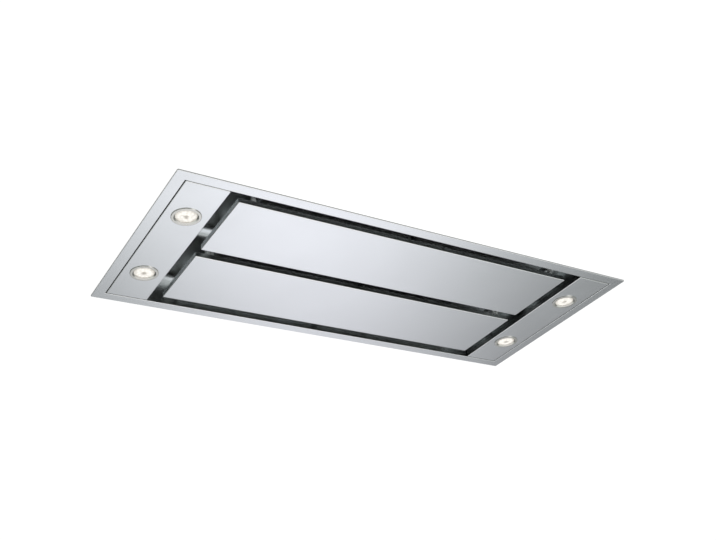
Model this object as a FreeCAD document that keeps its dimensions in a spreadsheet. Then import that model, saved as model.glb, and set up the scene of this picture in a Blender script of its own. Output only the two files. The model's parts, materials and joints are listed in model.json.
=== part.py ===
"""Flush ceiling range hood with two drop-down suction panels and four spot lamps.

The ceiling plane is z = 0, +Z points up into the ceiling void and +X runs along the long side.
The front of the hood is at -Y. All sizes are in millimetres.
"""
import FreeCAD
import Part
import math
import os
import Sketcher
from FreeCAD import Placement, Rotation, Vector

DIMENSIONS = {
    # Trim frame that covers the edge of the ceiling cut-out
    "frame_length": 1200,
    "frame_width": 530,
    "frame_rim": 26,
    "frame_hem": 3,
    "frame_sheet": 1.2,
    "frame_wall": 45,
    "frame_corner": 3,
    "frame_bend": 1,
    # Folded steel panels that lie flush in the frame
    "panel_seam": 2,
    "panel_sheet": 1,
    "panel_edge": 12,
    "panel_bend": 1.6,
    "panel_corner": 2.5,
    "light_panel_width": 97,
    "light_panel_play": 0.5,
    "clip_sheet": 0.8,
    "clip_drop": 6,
    "clip_width": 20,
    "clip_y": 150,
    "slot_gap": 29,
    # Hinges and catches of the two drop-down panels
    "hinge_end_inset": 38,
    "hinge_edge_inset": 8,
    "hinge_height": 19,
    "hinge_eye": 5,
    "hinge_arm": 3,
    "hinge_play": 0.5,
    "hinge_ear": 1.5,
    "hinge_plate": 2,
    "hinge_tab": 9,
    "pin_radius": 2,
    "pin_running": 0.06,
    "pin_seat": 0.02,
    "pin_head": 1.2,
    "pin_head_radius": 3.2,
    "foot_sheet": 1.5,
    "foot_length": 14,
    "catch_inset": 10,
    "catch_width": 16,
    "catch_depth": 12,
    "catch_drop": 20,
    "catch_slot": 4.4,
    "catch_gap": 0.35,
    "catch_roller": 1.6,
    "tongue_sheet": 2,
    "tongue_width": 8,
    "tongue_height": 25,
    # Tray that carries the grease filters
    "recess_depth": 35,
    "tray_sheet": 1,
    "filter_margin_x": 88,
    "filter_margin_y": 34,
    "centre_rail": 26,
    "cross_rail": 14,
    # Grease filters and their latches
    "filter_play": 1,
    "filter_height": 10,
    "filter_drop": 5,
    "filter_sheet": 1,
    "filter_lip": 12,
    "latch_lip": 24,
    "tab_width": 24,
    "tab_reach": 7,
    "tab_sheet": 1.2,
    "tab_spacing": 220,
    "mesh_play": 0.3,
    "mesh_strand": 3,
    "mesh_columns": 14,
    "mesh_rows": 5,
    "latch_play": 0.3,
    "latch_width": 22,
    "latch_length": 9,
    "latch_travel": 7,
    "latch_pull_width": 18,
    "latch_pull_sheet": 4,
    "latch_pull_drop": 5,
    "bolt_width": 12,
    "bolt_height": 1.8,
    "bolt_reach": 6.5,
    # Spot lamps
    "lamp_pitch": 244,
    "bezel_radius": 32,
    "bezel_drop": 2,
    "bezel_edge": 1.2,
    "bezel_cone": 2.3,
    "lamp_hole_radius": 28.5,
    "lamp_play": 0.4,
    "lamp_neck": 3,
    "lamp_depth": 8,
    "lens_radius": 23,
    "lens_seat": 1.2,
    "lens_thickness": 2.4,
    "lens_dome": 2,
    "reflector_sheet": 1,
    "reflector_depth": 20,
    "reflector_curve": 32,
    "reflector_neck": 7.5,
    "bulb_radius": 4.5,
    "bulb_length": 15,
    "bulb_gap": 0.3,
    "bulb_pin_radius": 0.5,
    "bulb_pin_spacing": 4,
    "bulb_pin_length": 8,
    "holder_radius": 9,
    "holder_height": 14,
    # Plenum body above the ceiling
    "body_height": 95,
    "body_sheet": 1,
    "body_flange": 15,
    "bead_length": 220,
    "bead_width": 16,
    "bead_height": 3,
    "bead_corner": 5,
    "flange_gap": 0.5,
    # Blower on top of the plenum
    "wheel_radius": 85,
    "wheel_lift": 12,
    "wheel_headroom": 23,
    "wheel_plate": 2,
    "blade_depth": 15,
    "blade_sheet": 1.2,
    "blade_lean": 10.5,
    "blade_curve": 12,
    "blade_count": 32,
    "hub_radius": 14,
    "hub_height": 22,
    "shaft_radius": 4,
    "scroll_height": 130,
    "scroll_sheet": 1.2,
    "scroll_radius": 98,
    "scroll_step": 14,
    "scroll_flange": 14,
    "tongue_offset": 15,
    "outlet_reach": 150,
    "throat_radius": 65,
    "throat_lap": 4,
    "throat_gap": 3.8,
    "ring_sheet": 1.2,
    "ring_flange": 18,
    "ring_bend": 14,
    "motor_radius": 45,
    "motor_play": 5,
    "motor_flange": 62,
    "motor_plate": 3,
    "motor_rise": 30,
    "motor_gap": 3,
    "motor_edge": 6,
    "motor_slot_count": 10,
    "motor_slot_width": 6,
    "motor_slot_inner": 24,
    "motor_slot_outer": 38,
    "grommet_height": 6,
    "grommet_radius": 7,
    "grommet_circle": 54,
    # Outlet collar with its two non-return flaps
    "transition_length": 45,
    "collar_radius": 74.5,
    "collar_sheet": 1.5,
    "collar_length": 55,
    "collar_flange": 5,
    "collar_rise": 81,
    "spindle_inset": 18,
    "spindle_radius": 2,
    "boss_radius": 4,
    "boss_length": 4,
    "flap_sheet": 1.2,
    "flap_gap": 1,
    "flap_stop": 3,
    "flap_rest": 0.4,
    "knuckle_radius": 4,
    "knuckle_length": 40,
    "knuckle_gap": 1,
    # Electrical parts on top of the plenum
    "box_length": 180,
    "box_width": 120,
    "box_height": 45,
    "box_sheet": 1.2,
    "box_corner": 6,
    "box_inset": 234,
    "lid_lip": 8,
    "lid_play": 0.5,
    "driver_length": 110,
    "driver_width": 40,
    "driver_height": 26,
    "terminal_length": 50,
    "terminal_width": 20,
    "terminal_height": 18,
    "terminal_ways": 5,
    "board_length": 48,
    "board_width": 46,
    "board_inset": 6,
    "board_lift": 6,
    "board_sheet": 1.6,
    "post_radius": 3,
    "relay_length": 18,
    "relay_width": 14,
    "relay_height": 15,
    "gland_radius": 8,
    "gland_bore": 4.5,
    "gland_length": 20,
    "gland_across": 22,
    "gland_nut": 6,
    "gland_play": 0.1,
    "capacitor_radius": 17.5,
    "capacitor_height": 62,
    "capacitor_x": 190,
    "capacitor_y": 150,
    # Brackets for four threaded rods, and the screws
    "rod_inset_x": 27,
    "rod_inset_y": 49,
    "hanger_sheet": 2,
    "hanger_rise": 37,
    "hanger_shelf": 34,
    "hanger_base": 30,
    "hanger_width": 44,
    "hanger_hole": 4.5,
    "screw_radius": 2,
    "screw_play": 0.1,
    "screw_head": 4,
    "screw_head_height": 2.4,
    "screw_length": 6,
    "hanger_screw_pitch": 26,
}

LAYOUT = {
    "face_level": "-dims.frame_hem",
    "opening_x": "dims.frame_length / 2 - dims.frame_rim",
    "opening_y": "dims.frame_width / 2 - dims.frame_rim",
    "light_outer_x": "opening_x - dims.panel_seam",
    "light_inner_x": "light_outer_x - dims.light_panel_width",
    "light_half_y": "opening_y - dims.panel_seam",
    "lamp_x": "(light_outer_x + light_inner_x) / 2",
    "panel_half_x": "light_inner_x - dims.slot_gap",
    "panel_outer_y": "opening_y - dims.slot_gap",
    "panel_inner_y": "dims.slot_gap / 2",
    "floor_level": "face_level + dims.panel_sheet",
    "hinge_x": "panel_half_x - dims.hinge_end_inset",
    "hinge_y": "panel_outer_y - dims.hinge_edge_inset",
    "hinge_level": "face_level + dims.hinge_height",
    "ear_inner": "dims.hinge_arm / 2 + dims.hinge_play",
    "ear_outer": "ear_inner + dims.hinge_ear",
    "catch_y": "panel_inner_y + dims.catch_inset",
    "tray_under": "face_level + dims.recess_depth",
    "tray_over": "tray_under + dims.tray_sheet",
    "tray_wall_x": "light_inner_x + dims.panel_sheet + dims.light_panel_play",
    "filter_hole_x": "light_inner_x - dims.filter_margin_x",
    "filter_hole_y": "opening_y - dims.filter_margin_y",
    "filter_x": "(filter_hole_x + dims.cross_rail / 2) / 2",
    "filter_half_x": "(filter_hole_x - dims.cross_rail / 2) / 2 - dims.filter_play",
    "filter_outer_y": "filter_hole_y - dims.filter_play",
    "filter_inner_y": "dims.centre_rail / 2 + dims.filter_play",
    "filter_under": "tray_under - dims.filter_drop",
    "filter_over": "filter_under + dims.filter_height",
    "bolt_under": "tray_over + dims.latch_play",
    "bolt_over": "bolt_under + dims.bolt_height",
    "latch_front_y": "filter_inner_y + dims.filter_sheet + dims.latch_play",
    "latch_rear_y": "latch_front_y + dims.latch_length",
    "latch_space_y": "latch_rear_y + dims.latch_travel + dims.latch_play",
    "body_x": "opening_x + dims.frame_sheet",
    "body_y": "opening_y + dims.frame_sheet",
    "body_base": "face_level + dims.frame_sheet",
    "sheet_under": "dims.body_height - dims.body_sheet",
    "neck_radius": "dims.lamp_hole_radius - dims.lamp_play",
    "lens_room": "neck_radius - dims.lamp_neck",
    "lens_over": "dims.lens_seat + dims.lens_thickness",
    "reflector_over": "lens_over + dims.reflector_depth",
    "holder_under": "reflector_over + dims.reflector_neck",
    "spiral_shift": "dims.scroll_step / 2",
    "spiral_start": "dims.scroll_radius - spiral_shift",
    "outlet_outer_x": "spiral_shift + dims.scroll_radius + 2 * dims.scroll_step",
    "outlet_x": "(dims.tongue_offset + outlet_outer_x) / 2",
    "blower_base": "dims.body_height",
    "blower_over": "blower_base + dims.scroll_height",
    "wheel_under": "blower_base + dims.wheel_lift",
    "wheel_over": "blower_over - dims.wheel_headroom",
    "wheel_height": "wheel_over - wheel_under",
    "blade_inner": "dims.wheel_radius - dims.blade_depth",
    "throat_outer": "dims.throat_radius + dims.ring_sheet",
    "ring_radius": "throat_outer + dims.ring_bend",
    "inlet_hole": "ring_radius + dims.ring_flange + dims.throat_gap",
    "motor_under": "wheel_over + dims.motor_gap",
    "motor_seat": "blower_over + dims.grommet_height",
    "motor_over": "motor_seat + dims.motor_plate + dims.motor_rise",
    "collar_base": "dims.outlet_reach + dims.transition_length",
    "collar_level": "blower_base + dims.collar_rise",
    "collar_bore": "dims.collar_radius - dims.collar_sheet",
    "spindle_y": "collar_base + dims.spindle_inset",
    "spindle_half": "collar_bore - dims.boss_length / 2",
    "flap_radius": "collar_bore - dims.flap_gap",
    "flap_edge": "dims.knuckle_radius + dims.knuckle_gap",
    "box_base": "dims.body_height",
    "box_centre_x": "opening_x - dims.box_inset",
    "box_over": "box_base + dims.box_height",
    "bead_y": "body_y / 2",
    "bead_over": "dims.body_height + dims.bead_height",
    "hanger_over": "dims.body_height + dims.hanger_rise",
    "rod_x": "opening_x - dims.rod_inset_x",
    "rod_y": "opening_y - dims.rod_inset_y",
    "hanger_riser_x": "rod_x - dims.hanger_sheet / 2 - dims.hanger_shelf / 2",
    "hanger_base_x": "hanger_riser_x + dims.hanger_sheet - dims.hanger_base",
    "hanger_screw_x": "(hanger_base_x + hanger_riser_x) / 2",
    "scroll_left_x": "-spiral_shift - dims.scroll_radius - dims.scroll_flange",
    "scroll_right_x": "outlet_outer_x + dims.scroll_flange",
    "scroll_front_y": "-spiral_shift - dims.scroll_radius - dims.scroll_step - dims.scroll_flange",
    "scroll_screw_inset": "dims.scroll_flange / 2",
}

LEFT_RIGHT = {"left": "-", "right": ""}
FRONT_REAR = ("front", "rear")

doc = FreeCAD.newDocument("ceiling_hood")


def fill_sheet(name, cells):
    """A spreadsheet with one aliased cell for each entry."""
    sheet = doc.addObject("Spreadsheet::Sheet", name)
    for row, (alias, content) in enumerate(cells.items(), 1):
        sheet.set(f"A{row}", alias)
        sheet.set(f"B{row}", content)
        sheet.setAlias(f"B{row}", alias)
    doc.recompute()
    return sheet


fill_sheet("dims", {alias: str(size) for alias, size in DIMENSIONS.items()})
layout = fill_sheet("layout", {alias: f"={formula}" for alias, formula in LAYOUT.items()})


def number(expression):
    """The present value of an expression on the two sheets."""
    return float(layout.evalExpression(expression))


# Sketches and features

def new_body(label):
    body = doc.addObject("PartDesign::Body", label)
    body.Label = label
    return body


def origin(body, role):
    return next(item for item in body.Origin.OriginFeatures if item.Role == role)


def new_sketch(body, role, offset=None):
    """A sketch on one of the body's own origin planes, moved along its normal."""
    sketch = body.newObject("Sketcher::SketchObject", f"{body.Label}_sketch")
    sketch.AttachmentSupport = [(origin(body, role), "")]
    sketch.MapMode = "FlatFace"
    if offset is not None:
        sketch.setExpression("AttachmentOffset.Base.z", offset)
    return sketch


def fix_point(sketch, geometry, position, x, y):
    """Ties a point of the sketch to its two coordinate expressions."""
    for kind, axis, expression in (("DistanceX", -2, x), ("DistanceY", -1, y)):
        if expression == "0":
            sketch.addConstraint(Sketcher.Constraint("PointOnObject", geometry, position, axis))
            continue
        value = number(expression)
        place = sketch.addConstraint(Sketcher.Constraint(kind, -1, 1, geometry, position, value))
        sketch.setExpression(f"Constraints[{place}]", expression)


def arc_between(start, end, radius, turn):
    """The short arc from start to end: turn is 1 anticlockwise and -1 clockwise."""
    chord = end - start
    reach = math.sqrt(radius ** 2 - (chord.Length / 2) ** 2)
    normal = Vector(-chord.y, chord.x, 0).normalize()
    centre = (start + end) / 2 + normal * reach * turn
    first, last = (start, end) if turn > 0 else (end, start)
    angles = [math.atan2(point.y - centre.y, point.x - centre.x) for point in (first, last)]
    return Part.ArcOfCircle(Part.Circle(centre, Vector(0, 0, 1), radius), *angles)


def outline(sketch, points):
    """A closed outline. A point is (x, y), or (x, y, radius, turn) where an arc leads to the next."""
    count = len(points)
    corners = [Vector(number(point[0]), number(point[1]), 0) for point in points]
    pieces = []
    for index, point in enumerate(points):
        start, end = corners[index], corners[(index + 1) % count]
        if len(point) == 2:
            geometry = sketch.addGeometry(Part.LineSegment(start, end))
            pieces.append((geometry, 1, 2))
            continue
        radius, turn = point[2:]
        geometry = sketch.addGeometry(arc_between(start, end, number(radius), turn))
        pieces.append((geometry, 1, 2) if turn > 0 else (geometry, 2, 1))
    for index, point in enumerate(points):
        geometry, start, end = pieces[index]
        following, beginning, _ = pieces[(index + 1) % count]
        sketch.addConstraint(Sketcher.Constraint("Coincident", geometry, end, following, beginning))
        fix_point(sketch, geometry, start, point[0], point[1])
    for (geometry, _, _), point in zip(pieces, points):
        if len(point) > 2:
            place = sketch.addConstraint(Sketcher.Constraint("Radius", geometry, number(point[2])))
            sketch.setExpression(f"Constraints[{place}]", point[2])


def rectangle(sketch, low_x, high_x, low_y, high_y):
    outline(sketch, [(low_x, low_y), (high_x, low_y), (high_x, high_y), (low_x, high_y)])


def centred(sketch, half_x, half_y):
    rectangle(sketch, f"-({half_x})", half_x, f"-({half_y})", half_y)


def circle(sketch, x, y, radius):
    centre = Vector(number(x), number(y), 0)
    geometry = sketch.addGeometry(Part.Circle(centre, Vector(0, 0, 1), number(radius)))
    fix_point(sketch, geometry, 3, x, y)
    place = sketch.addConstraint(Sketcher.Constraint("Radius", geometry, number(radius)))
    sketch.setExpression(f"Constraints[{place}]", radius)


def pad(body, sketch, length, downwards=False, symmetric=False):
    feature = body.newObject("PartDesign::Pad", f"{body.Label}_pad")
    feature.Profile = sketch
    feature.setExpression("Length", length)
    feature.Reversed = downwards
    if symmetric:
        feature.SideType = "Symmetric"
    body.Tip = feature
    return feature


def pocket(body, sketch, length, along_normal=True, symmetric=False):
    """Cuts the sketch out of the body, along its normal or against it, and checks that it cut."""
    doc.recompute()
    before = body.Shape.Volume
    feature = body.newObject("PartDesign::Pocket", f"{body.Label}_pocket")
    feature.Profile = sketch
    feature.setExpression("Length", length)
    feature.Reversed = along_normal
    if symmetric:
        feature.SideType = "Symmetric"
    body.Tip = feature
    doc.recompute()
    if not body.Shape.Volume < before:
        raise RuntimeError(f"a pocket of {body.Label} cuts nothing")
    return feature


def revolve(body, sketch):
    """Turns the sketch about its own vertical axis."""
    feature = body.newObject("PartDesign::Revolution", f"{body.Label}_turned")
    feature.Profile = sketch
    feature.ReferenceAxis = (sketch, ["V_Axis"])
    feature.Angle = 360
    body.Tip = feature
    return feature


def polar(body, original, count):
    """Repeats a feature evenly about the body's vertical axis."""
    doc.recompute()
    feature = body.newObject("PartDesign::PolarPattern", f"{body.Label}_pattern")
    feature.Originals = [original]
    feature.Axis = (origin(body, "Z_Axis"), [""])
    feature.Angle = 360
    feature.setExpression("Occurrences", count)
    body.Tip = feature
    return feature


def fillet(body, radius, chosen):
    """Rounds the edges of the body for which chosen(middle, edge) holds."""
    doc.recompute()
    base = body.Tip
    names = []
    for index, edge in enumerate(base.Shape.Edges, 1):
        low, high = edge.ParameterRange
        if chosen(edge.valueAt((low + high) / 2), edge):
            names.append(f"Edge{index}")
    feature = body.newObject("PartDesign::Fillet", f"{body.Label}_fillet")
    feature.Base = (base, names)
    feature.setExpression("Radius", radius)
    body.Tip = feature
    doc.recompute()


def place(body, x="0", y="0", z="0", turned=False):
    """Sets the body at its place, turned half round about the vertical axis where asked."""
    if turned:
        body.Placement = Placement(Vector(), Rotation(Vector(0, 0, 1), 180))
    for axis, expression in zip("xyz", (x, y, z)):
        if expression != "0":
            body.setExpression(f"Placement.Base.{axis}", expression)


def group(label, items):
    """One node made of several separate solids."""
    compound = doc.addObject("Part::Compound", label)
    compound.Label = label
    compound.Links = items
    return compound


def mirrored(item, normal):
    """A mirror image across the plane through the origin with this normal."""
    image = doc.addObject("Part::Mirroring", f"{item.Label}_mirrored")
    image.Source = item
    image.Base = Vector()
    image.Normal = normal
    return image


def four_corners(label, item):
    """The piece and its mirror images in the other three quarters of the hood."""
    pair = group(f"{label}_pair", [item, mirrored(item, Vector(1, 0, 0))])
    return group(label, [pair, mirrored(pair, Vector(0, 1, 0))])


def is_upright(edge):
    return abs(edge.tangentAt(edge.FirstParameter).z) > 0.99


def near(value, expression):
    return abs(value - number(expression)) < 0.01


# Trim frame and plenum body

def make_trim_frame():
    body = new_body("trim_frame")
    face = new_sketch(body, "XY_Plane", "layout.face_level")
    centred(face, "dims.frame_length / 2", "dims.frame_width / 2")
    centred(face, "layout.opening_x", "layout.opening_y")
    pad(body, face, "dims.frame_sheet")
    hem = new_sketch(body, "XY_Plane", "layout.face_level")
    centred(hem, "dims.frame_length / 2", "dims.frame_width / 2")
    centred(hem, "dims.frame_length / 2 - dims.frame_sheet", "dims.frame_width / 2 - dims.frame_sheet")
    pad(body, hem, "dims.frame_hem")
    wall = new_sketch(body, "XY_Plane", "layout.face_level")
    centred(wall, "layout.body_x", "layout.body_y")
    centred(wall, "layout.opening_x", "layout.opening_y")
    pad(body, wall, "dims.frame_wall")
    fillet(
        body, "dims.frame_corner",
        lambda middle, edge: is_upright(edge) and near(abs(middle.x), "dims.frame_length / 2"),
    )
    fillet(body, "dims.frame_bend", lambda middle, edge: near(middle.z, "layout.face_level"))
    return body


def flanged_wall(name, plane, reach, half, flange_half, turned):
    """A wall of the plenum, with a flange turned in under the top sheet."""
    body = new_body(name)
    outer, top = f"-({reach} + dims.body_sheet)", "layout.sheet_under"
    runs = (
        (f"-{reach}", "layout.body_base", half),
        (f"-({reach} - dims.body_flange)", f"{top} - dims.body_sheet", flange_half),
    )
    for inner, low, length in runs:
        profile = new_sketch(body, plane)
        rectangle(profile, outer, inner, low, top)
        pad(body, profile, f"2 * ({length})", symmetric=True)
    place(body, turned=turned)
    return body


def make_long_wall(name, turned):
    """Front or rear wall, which laps over the ends of the end walls."""
    half, flange_half = "layout.body_x + dims.body_sheet", "layout.body_x - dims.flange_gap"
    return flanged_wall(name, "YZ_Plane", "layout.body_y", half, flange_half, turned)


def make_end_wall(name, turned):
    """Left or right wall, between the long walls."""
    flange_half = "layout.body_y - dims.body_flange - dims.flange_gap"
    return flanged_wall(name, "XZ_Plane", "layout.body_x", "layout.body_y", flange_half, turned)


def scroll_screw_points():
    """Screws of the blower's base flange: three along each of its two sides."""
    inset = "layout.scroll_screw_inset"
    front, rear = f"layout.scroll_front_y + {inset}", f"dims.outlet_reach - {inset}"
    sides = (f"layout.scroll_left_x + {inset}", f"layout.scroll_right_x - {inset}")
    return [(x, y) for x in sides for y in (front, f"({front} + {rear}) / 2", rear)]


def hanger_screw_points():
    """Two screws through the base of each hanger bracket."""
    points = []
    for side_x in LEFT_RIGHT.values():
        for side_y in LEFT_RIGHT.values():
            for step in ("-", "+"):
                y = f"{side_y}(layout.rod_y {step} dims.hanger_screw_pitch / 2)"
                points.append((f"{side_x}layout.hanger_screw_x", y))
    return points


def drill(body, points, offset, depth):
    """Clearance holes for screws."""
    holes = new_sketch(body, "XY_Plane", offset)
    for x, y in points:
        circle(holes, x, y, "dims.screw_radius + dims.screw_play")
    pocket(body, holes, depth)


def bead_outlines(sketch, inset):
    """Adds the outlines of the four beads of the top sheet, each side moved in by the inset."""
    half_x = f"(dims.bead_length / 2 - {inset})"
    half_y = f"(dims.bead_width / 2 - {inset})"
    for sign_x in LEFT_RIGHT.values():
        for sign_y in LEFT_RIGHT.values():
            x, y = f"{sign_x}layout.box_centre_x", f"{sign_y}layout.bead_y"
            rectangle(sketch, f"{x} - {half_x}", f"{x} + {half_x}", f"{y} - {half_y}", f"{y} + {half_y}")


def make_body_top():
    """Top sheet with the inlet hole, the screw holes and four pressed beads that stiffen it."""
    body = new_body("body_top")
    sheet = new_sketch(body, "XY_Plane", "layout.sheet_under")
    centred(sheet, "layout.body_x + dims.body_sheet", "layout.body_y + dims.body_sheet")
    circle(sheet, "0", "0", "layout.inlet_hole")
    pad(body, sheet, "dims.body_sheet")
    beads = new_sketch(body, "XY_Plane", "layout.sheet_under")
    bead_outlines(beads, "0")
    pad(body, beads, "dims.body_sheet + dims.bead_height")
    hollows = new_sketch(body, "XY_Plane", "layout.sheet_under")
    bead_outlines(hollows, "dims.body_sheet")
    pocket(body, hollows, "dims.bead_height")
    middle_height = "dims.body_height + dims.bead_height / 10"
    fillet(
        body, "dims.bead_corner",
        lambda middle, edge: is_upright(edge) and middle.z > number(middle_height),
    )
    fillet(body, "dims.bead_height / 2", lambda middle, edge: near(middle.z, "layout.bead_over"))
    drill(body, scroll_screw_points() + hanger_screw_points(), "layout.sheet_under", "dims.body_sheet")
    return body


def make_filter_tray():
    """Polished shelf above the panels with an opening for each filter, and its two end walls."""
    body = new_body("filter_tray")
    shelf = new_sketch(body, "XY_Plane", "layout.tray_under")
    centred(shelf, "layout.tray_wall_x + dims.tray_sheet", "layout.opening_y")
    rail, bar = "dims.centre_rail / 2", "dims.cross_rail / 2"
    for low_x, high_x in (("-layout.filter_hole_x", f"-{bar}"), (bar, "layout.filter_hole_x")):
        for low_y, high_y in (("-layout.filter_hole_y", f"-{rail}"), (rail, "layout.filter_hole_y")):
            rectangle(shelf, low_x, high_x, low_y, high_y)
    pad(body, shelf, "dims.tray_sheet")
    end = "layout.light_half_y - dims.panel_sheet - dims.light_panel_play"
    for sign in LEFT_RIGHT.values():
        wall = new_sketch(body, "XY_Plane", "layout.face_level + dims.panel_seam")
        inner, outer = f"{sign}layout.tray_wall_x", f"{sign}(layout.tray_wall_x + dims.tray_sheet)"
        low, high = (outer, inner) if sign else (inner, outer)
        rectangle(wall, low, high, f"-({end})", end)
        pad(body, wall, "dims.recess_depth + dims.tray_sheet - dims.panel_seam")
    return body


# Folded panels

def folded_pan(body, low_x, high_x, low_y, high_y):
    """A sheet whose four edges are turned up, with round bends and corners."""
    outside = new_sketch(body, "XY_Plane", "layout.face_level")
    rectangle(outside, low_x, high_x, low_y, high_y)
    pad(body, outside, "dims.panel_edge")
    fillet(body, "dims.panel_corner", lambda middle, edge: is_upright(edge))
    fillet(body, "dims.panel_bend", lambda middle, edge: near(middle.z, "layout.face_level"))
    inside = new_sketch(body, "XY_Plane", "layout.floor_level")
    rectangle(
        inside, f"{low_x} + dims.panel_sheet", f"{high_x} - dims.panel_sheet",
        f"{low_y} + dims.panel_sheet", f"{high_y} - dims.panel_sheet",
    )
    pocket(body, inside, "dims.panel_edge")


def make_light_panel(name, turned):
    body = new_body(name)
    folded_pan(
        body, "-layout.light_outer_x", "-layout.light_inner_x",
        "-layout.light_half_y", "layout.light_half_y",
    )
    holes = new_sketch(body, "XY_Plane", "layout.face_level")
    for sign in LEFT_RIGHT.values():
        circle(holes, "-layout.lamp_x", f"{sign}dims.lamp_pitch / 2", "dims.lamp_hole_radius")
    pocket(body, holes, "dims.panel_sheet")
    place(body, turned=turned)
    return body


def make_light_panel_clips():
    """Spring clips on the outer edges of the light panels, which press against the frame."""
    body = new_body("light_panel_clip_single")
    profile = new_sketch(body, "XZ_Plane", "dims.clip_y")
    edge, inner = "layout.light_outer_x", "layout.light_outer_x - dims.panel_sheet"
    top = "layout.face_level + dims.panel_edge"
    waist = f"{top} - dims.clip_drop / 2"
    tip = f"{top} - dims.clip_drop"
    outline(profile, [
        (f"{inner} - dims.clip_sheet", tip),
        (inner, tip),
        (inner, top),
        (edge, top),
        (f"{edge} + dims.panel_seam - dims.clip_sheet", waist),
        (edge, tip),
        (f"{edge} + dims.clip_sheet", tip),
        (f"{edge} + dims.panel_seam", waist),
        (f"{edge} + dims.clip_sheet", f"{top} + dims.clip_sheet"),
        (f"{inner} - dims.clip_sheet", f"{top} + dims.clip_sheet"),
    ])
    pad(body, profile, "dims.clip_width", symmetric=True)
    return four_corners("light_panel_clips", body)


def make_suction_panel(name, turned):
    body = new_body(name)
    folded_pan(
        body, "-layout.panel_half_x", "layout.panel_half_x",
        "-layout.panel_outer_y", "-layout.panel_inner_y",
    )
    place(body, turned=turned)
    return body


# Panel hinges and catches

def welded_foot(body, centre_y, half_y):
    """The foot that fixes an arm or a tongue to the floor of its panel."""
    foot = new_sketch(body, "XY_Plane", "layout.floor_level")
    rectangle(
        foot, "layout.hinge_x - dims.foot_length / 2", "layout.hinge_x + dims.foot_length / 2",
        f"{centre_y} - {half_y}", f"{centre_y} + {half_y}",
    )
    pad(body, foot, "dims.foot_sheet")


def eye_plate(body, offset, thickness, low_z, high_z, bore):
    """A plate standing across the hinge line, rounded and bored at the pin."""
    strip = new_sketch(body, "YZ_Plane", offset)
    rectangle(
        strip, "-layout.hinge_y - dims.hinge_eye", "-layout.hinge_y + dims.hinge_eye", low_z, high_z,
    )
    pad(body, strip, thickness)
    eye = new_sketch(body, "YZ_Plane", offset)
    circle(eye, "-layout.hinge_y", "layout.hinge_level", "dims.hinge_eye")
    pad(body, eye, thickness)
    hole = new_sketch(body, "YZ_Plane", offset)
    circle(hole, "-layout.hinge_y", "layout.hinge_level", bore)
    pocket(body, hole, thickness)


def make_hinge_arms(name, turned):
    body = new_body(f"{name}_single")
    welded_foot(body, "-layout.hinge_y", "dims.hinge_eye")
    eye_plate(
        body, "layout.hinge_x - dims.hinge_arm / 2", "dims.hinge_arm",
        "layout.floor_level", "layout.hinge_level", "dims.pin_radius + dims.pin_running",
    )
    pair = group(name, [body, mirrored(body, Vector(1, 0, 0))])
    place(pair, turned=turned)
    return pair


def make_hinge_brackets():
    """U brackets that hang from the tray on either side of each hinge arm."""
    body = new_body("hinge_bracket_single")
    plate = new_sketch(body, "XY_Plane", "layout.tray_under - dims.hinge_plate")
    rectangle(
        plate,
        "layout.hinge_x - layout.ear_outer - dims.hinge_tab",
        "layout.hinge_x + layout.ear_outer + dims.hinge_tab",
        "-layout.hinge_y - dims.hinge_eye", "-layout.hinge_y + dims.hinge_eye",
    )
    pad(body, plate, "dims.hinge_plate")
    for offset in ("layout.hinge_x - layout.ear_outer", "layout.hinge_x + layout.ear_inner"):
        eye_plate(
            body, offset, "dims.hinge_ear", "layout.hinge_level", "layout.tray_under - dims.hinge_plate",
            "dims.pin_radius + dims.pin_seat",
        )
    return four_corners("hinge_brackets", body)


def make_hinge_pins():
    body = new_body("hinge_pin_single")
    shank = new_sketch(body, "YZ_Plane", "layout.hinge_x - layout.ear_outer")
    circle(shank, "-layout.hinge_y", "layout.hinge_level", "dims.pin_radius")
    pad(body, shank, "2 * layout.ear_outer + dims.pin_head")
    head = new_sketch(body, "YZ_Plane", "layout.hinge_x - layout.ear_outer - dims.pin_head")
    circle(head, "-layout.hinge_y", "layout.hinge_level", "dims.pin_head_radius")
    pad(body, head, "dims.pin_head")
    return four_corners("hinge_pins", body)


def make_strikers(name, turned):
    """Tongues near the inner edge of a panel, which the catches hold."""
    body = new_body(f"{name}_single")
    welded_foot(body, "-layout.catch_y", "dims.tongue_width / 2")
    tongue = new_sketch(body, "YZ_Plane", "layout.hinge_x - dims.tongue_sheet / 2")
    left, right = "-layout.catch_y - dims.tongue_width / 2", "-layout.catch_y + dims.tongue_width / 2"
    tip = "layout.face_level + dims.tongue_height"
    outline(tongue, [
        (left, "layout.floor_level"),
        (right, "layout.floor_level"),
        (right, f"{tip} - dims.tongue_width / 4"),
        (f"{right} - dims.tongue_width / 4", tip),
        (f"{left} + dims.tongue_width / 4", tip),
        (left, f"{tip} - dims.tongue_width / 4"),
    ])
    pad(body, tongue, "dims.tongue_sheet")
    pair = group(name, [body, mirrored(body, Vector(1, 0, 0))])
    place(pair, turned=turned)
    return pair


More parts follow.
